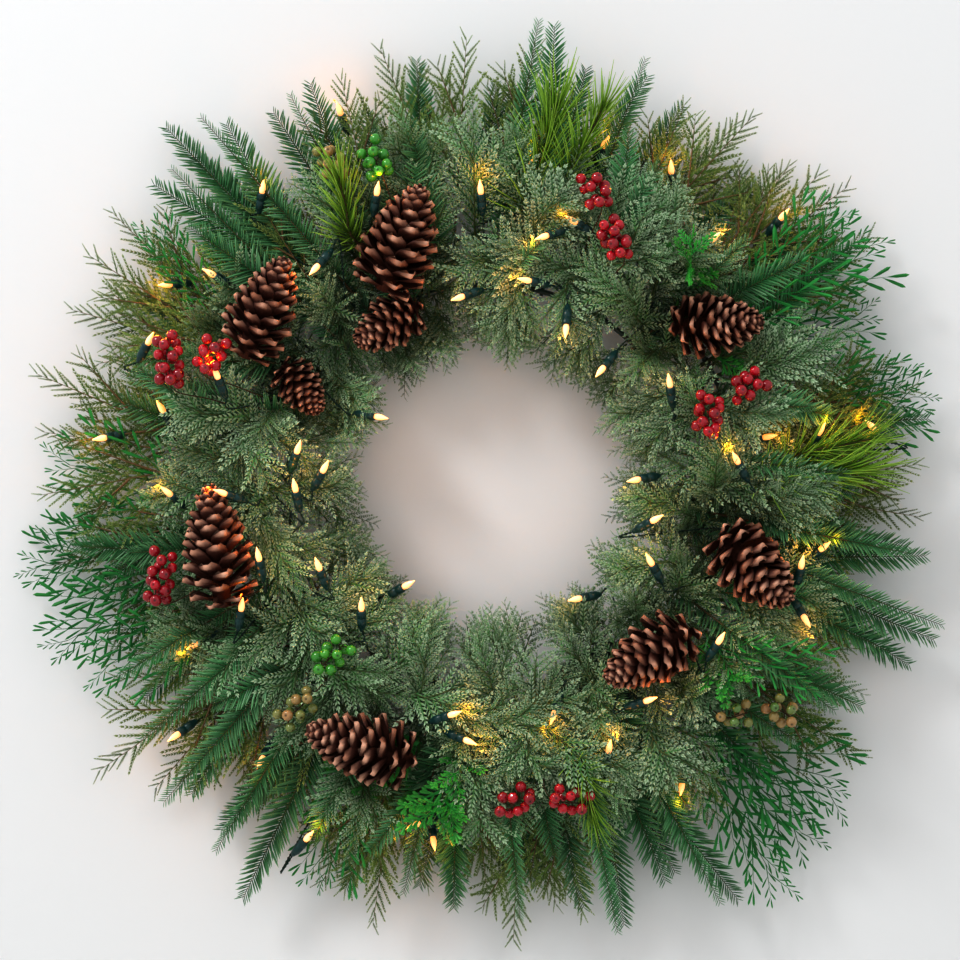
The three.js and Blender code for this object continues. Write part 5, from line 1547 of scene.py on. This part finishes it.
pine_leaf = leaf_material("cut_pvc_pine", "#406e1c", "#70a42c", "#a8cc5a", roughness=0.46)
pine_tree, given, result = tree_with(
    "pine_tuft", Needle="Object", Count="Int", Length="Float", Seed="Int", Leaf="Material", Bark="Material",
)
twig_curve = add(pine_tree, "GeometryNodeMeshToCurve", Mesh=given["Guides"])
spread_out = add(
    pine_tree, "GeometryNodeResampleCurve", {"mode": "COUNT"}, Curve=twig_curve.outputs[0],
    Count=given["Count"],
)
run = add(pine_tree, "GeometryNodeSplineParameter")
tangent = add(pine_tree, "GeometryNodeInputTangent").outputs[0]
turn = maths(pine_tree, "MULTIPLY", run.outputs["Index"], SPIRAL)
sideways = vectors(
    pine_tree, "NORMALIZE", vectors(pine_tree, "CROSS_PRODUCT", tangent, Vector_001=(0.31, 0.2, 0.93)),
)
about = {"rotation_type": "AXIS_ANGLE"}
round_twig = add(
    pine_tree, "ShaderNodeVectorRotate", about, Vector=sideways, Axis=tangent, Angle=turn,
).outputs[0]
splay = add(pine_tree, "ShaderNodeMapRange", Value=run.outputs["Factor"], To_Min=1.0, To_Max=0.35).outputs[0]
outwards = vectors(pine_tree, "SCALE", round_twig, Scale=splay)
heading = vectors(pine_tree, "ADD", outwards, Vector_001=tangent)
drift = random_vector(pine_tree, (0.22, 0.22, 0.22), given["Seed"])
heading = vectors(pine_tree, "ADD", heading, Vector_001=drift)
aimed_out = add(pine_tree, "FunctionNodeAlignRotationToVector", {"axis": "X"}, Vector=heading)
long = maths(pine_tree, "MULTIPLY", random_between(pine_tree, 0.7, 1.05, given["Seed"]), given["Length"])
shape = add(pine_tree, "GeometryNodeObjectInfo", Object=given["Needle"]).outputs["Geometry"]
stuck = add(pine_tree, "GeometryNodeInstanceOnPoints", Points=spread_out.outputs[0], Instance=shape)
link(pine_tree, aimed_out.outputs[0], stuck.inputs["Rotation"])
link(pine_tree, long, stuck.inputs["Scale"])
tinted = with_tint(pine_tree, stuck, random_between(pine_tree, 0.0, 1.0, given["Seed"]))
real = add(pine_tree, "GeometryNodeRealizeInstances", Geometry=tinted)
coloured = add(pine_tree, "GeometryNodeSetMaterial", Geometry=real.outputs[0], Material=given["Leaf"])
twig_round = add(
    pine_tree, "GeometryNodeCurvePrimitiveCircle", {"mode": "RADIUS"}, Resolution=6, Radius=0.0014,
)
round_shape = twig_round.outputs[0]
twig = add(
    pine_tree, "GeometryNodeCurveToMesh", Curve=twig_curve.outputs[0], Profile_Curve=round_shape,
    Fill_Caps=True,
)
barked = add(pine_tree, "GeometryNodeSetMaterial", Geometry=twig.outputs[0], Material=given["Bark"])
both = add(pine_tree, "GeometryNodeJoinGeometry")
link(pine_tree, coloured.outputs[0], both.inputs[0])
link(pine_tree, barked.outputs[0], both.inputs[0])
link(pine_tree, both.outputs[0], result[0])


def round_needle():
    """A thin three-sided needle of length 1 along +X, bent a little."""
    vertices, faces = [], []
    places = [Vector((0, 0, 0)), Vector((0.5, 0.0, 0.03)), Vector((1, 0.0, 0.1))]
    tube(vertices, faces, places, [0.014, 0.016, 0.004], 3)
    made = mesh_object("needle", vertices, faces, smooth=True)
    made.data.attributes.new("reach", "FLOAT", "POINT").data.foreach_set(
        "value", [0] * 3 + [0.5] * 3 + [1.0] * 3,
    )
    return made


pine_needle = round_needle()
for index, (node, slot_angle, start, end, count, needle_long) in enumerate(PINE_TUFTS):
    start, end = spot(*start), spot(*end)
    line = smooth_line([around(slot_angle, STEM_OUTER - 4, STEM_DEPTH), start, start.lerp(end, 0.5), end], 5)
    brush = guide_mesh("guides", [line[3:]])
    tuft = grown(
        (node or "pine_tuft_small_" + str(index)) + "_needles", brush, pine_tree,
        Needle=pine_needle, Count=count, Length=needle_long / 1000, Seed=index, Leaf=pine_leaf, Bark=fir_stem,
    )
    hang(tuft, "pine_needles", *([node] if node else []))
bpy.data.objects.remove(pine_needle)

# ---------------------------------------------------------------- bound stems
# Each bough's stem lies across both rings, lashed to each with a cross of green tie wire. The stems of the
# cones, picks and tufts are left out here.

STEM_RADIUS = 2
TIE_WIRE = 0.5
TIE_HALF_WIDTH, TIE_HALF_DEPTH = 4.2, 5.2
TIE_DEPTH = (RING_DEPTH + STEM_DEPTH) / 2

all_boughs = (CEDAR_BOUGHS, CYPRESS_BOUGHS, FIR_BOUGHS, YEW_BOUGHS, ARBORVITAE_BOUGHS)
slots = [slot for boughs in all_boughs for slot, _ in boughs.values()]
stem_vertices, stem_faces, tie_vertices, tie_faces = [], [], [], []
for slot in slots:
    bound = [around(slot, STEM_INNER, STEM_DEPTH), around(slot, STEM_OUTER, STEM_DEPTH)]
    tube(stem_vertices, stem_faces, bound, STEM_RADIUS / 1000)
    for ring_radius in (INNER_RING, OUTER_RING):
        crossing = around(slot, ring_radius, TIE_DEPTH)
        for lean in (-45, 45):
            outwards = (around(slot, 1, 0) - spot(0, 0, 0)).normalized()
            across = Matrix.Rotation(math.radians(lean), 3, "Y") @ outwards
            loop = []
            for step in range(13):
                turn = 2 * math.pi * step / 12
                reach = across * (math.cos(turn) * TIE_HALF_WIDTH / 1000)
                loop.append(crossing + reach + Vector((0, math.sin(turn) * TIE_HALF_DEPTH / 1000, 0)))
            tube(tie_vertices, tie_faces, loop, TIE_WIRE / 1000, 4)
bound_stems = mesh_object("bound_stems", stem_vertices, stem_faces, smooth=True)
bound_stems.data.materials.append(cedar_stem)
hang(bound_stems, "cedar")
stem_ties = mesh_object("stem_ties", tie_vertices, tie_faces, smooth=True)
stem_ties.data.materials.append(enamel)
hang(stem_ties, "ring_frame")

# ---------------------------------------------------------------- the cut twigs are removed
for collection in list(bpy.data.collections):
    if collection.name.endswith("_twigs"):
        for twig in list(collection.objects):
            bpy.data.objects.remove(twig)
        bpy.data.collections.remove(collection)
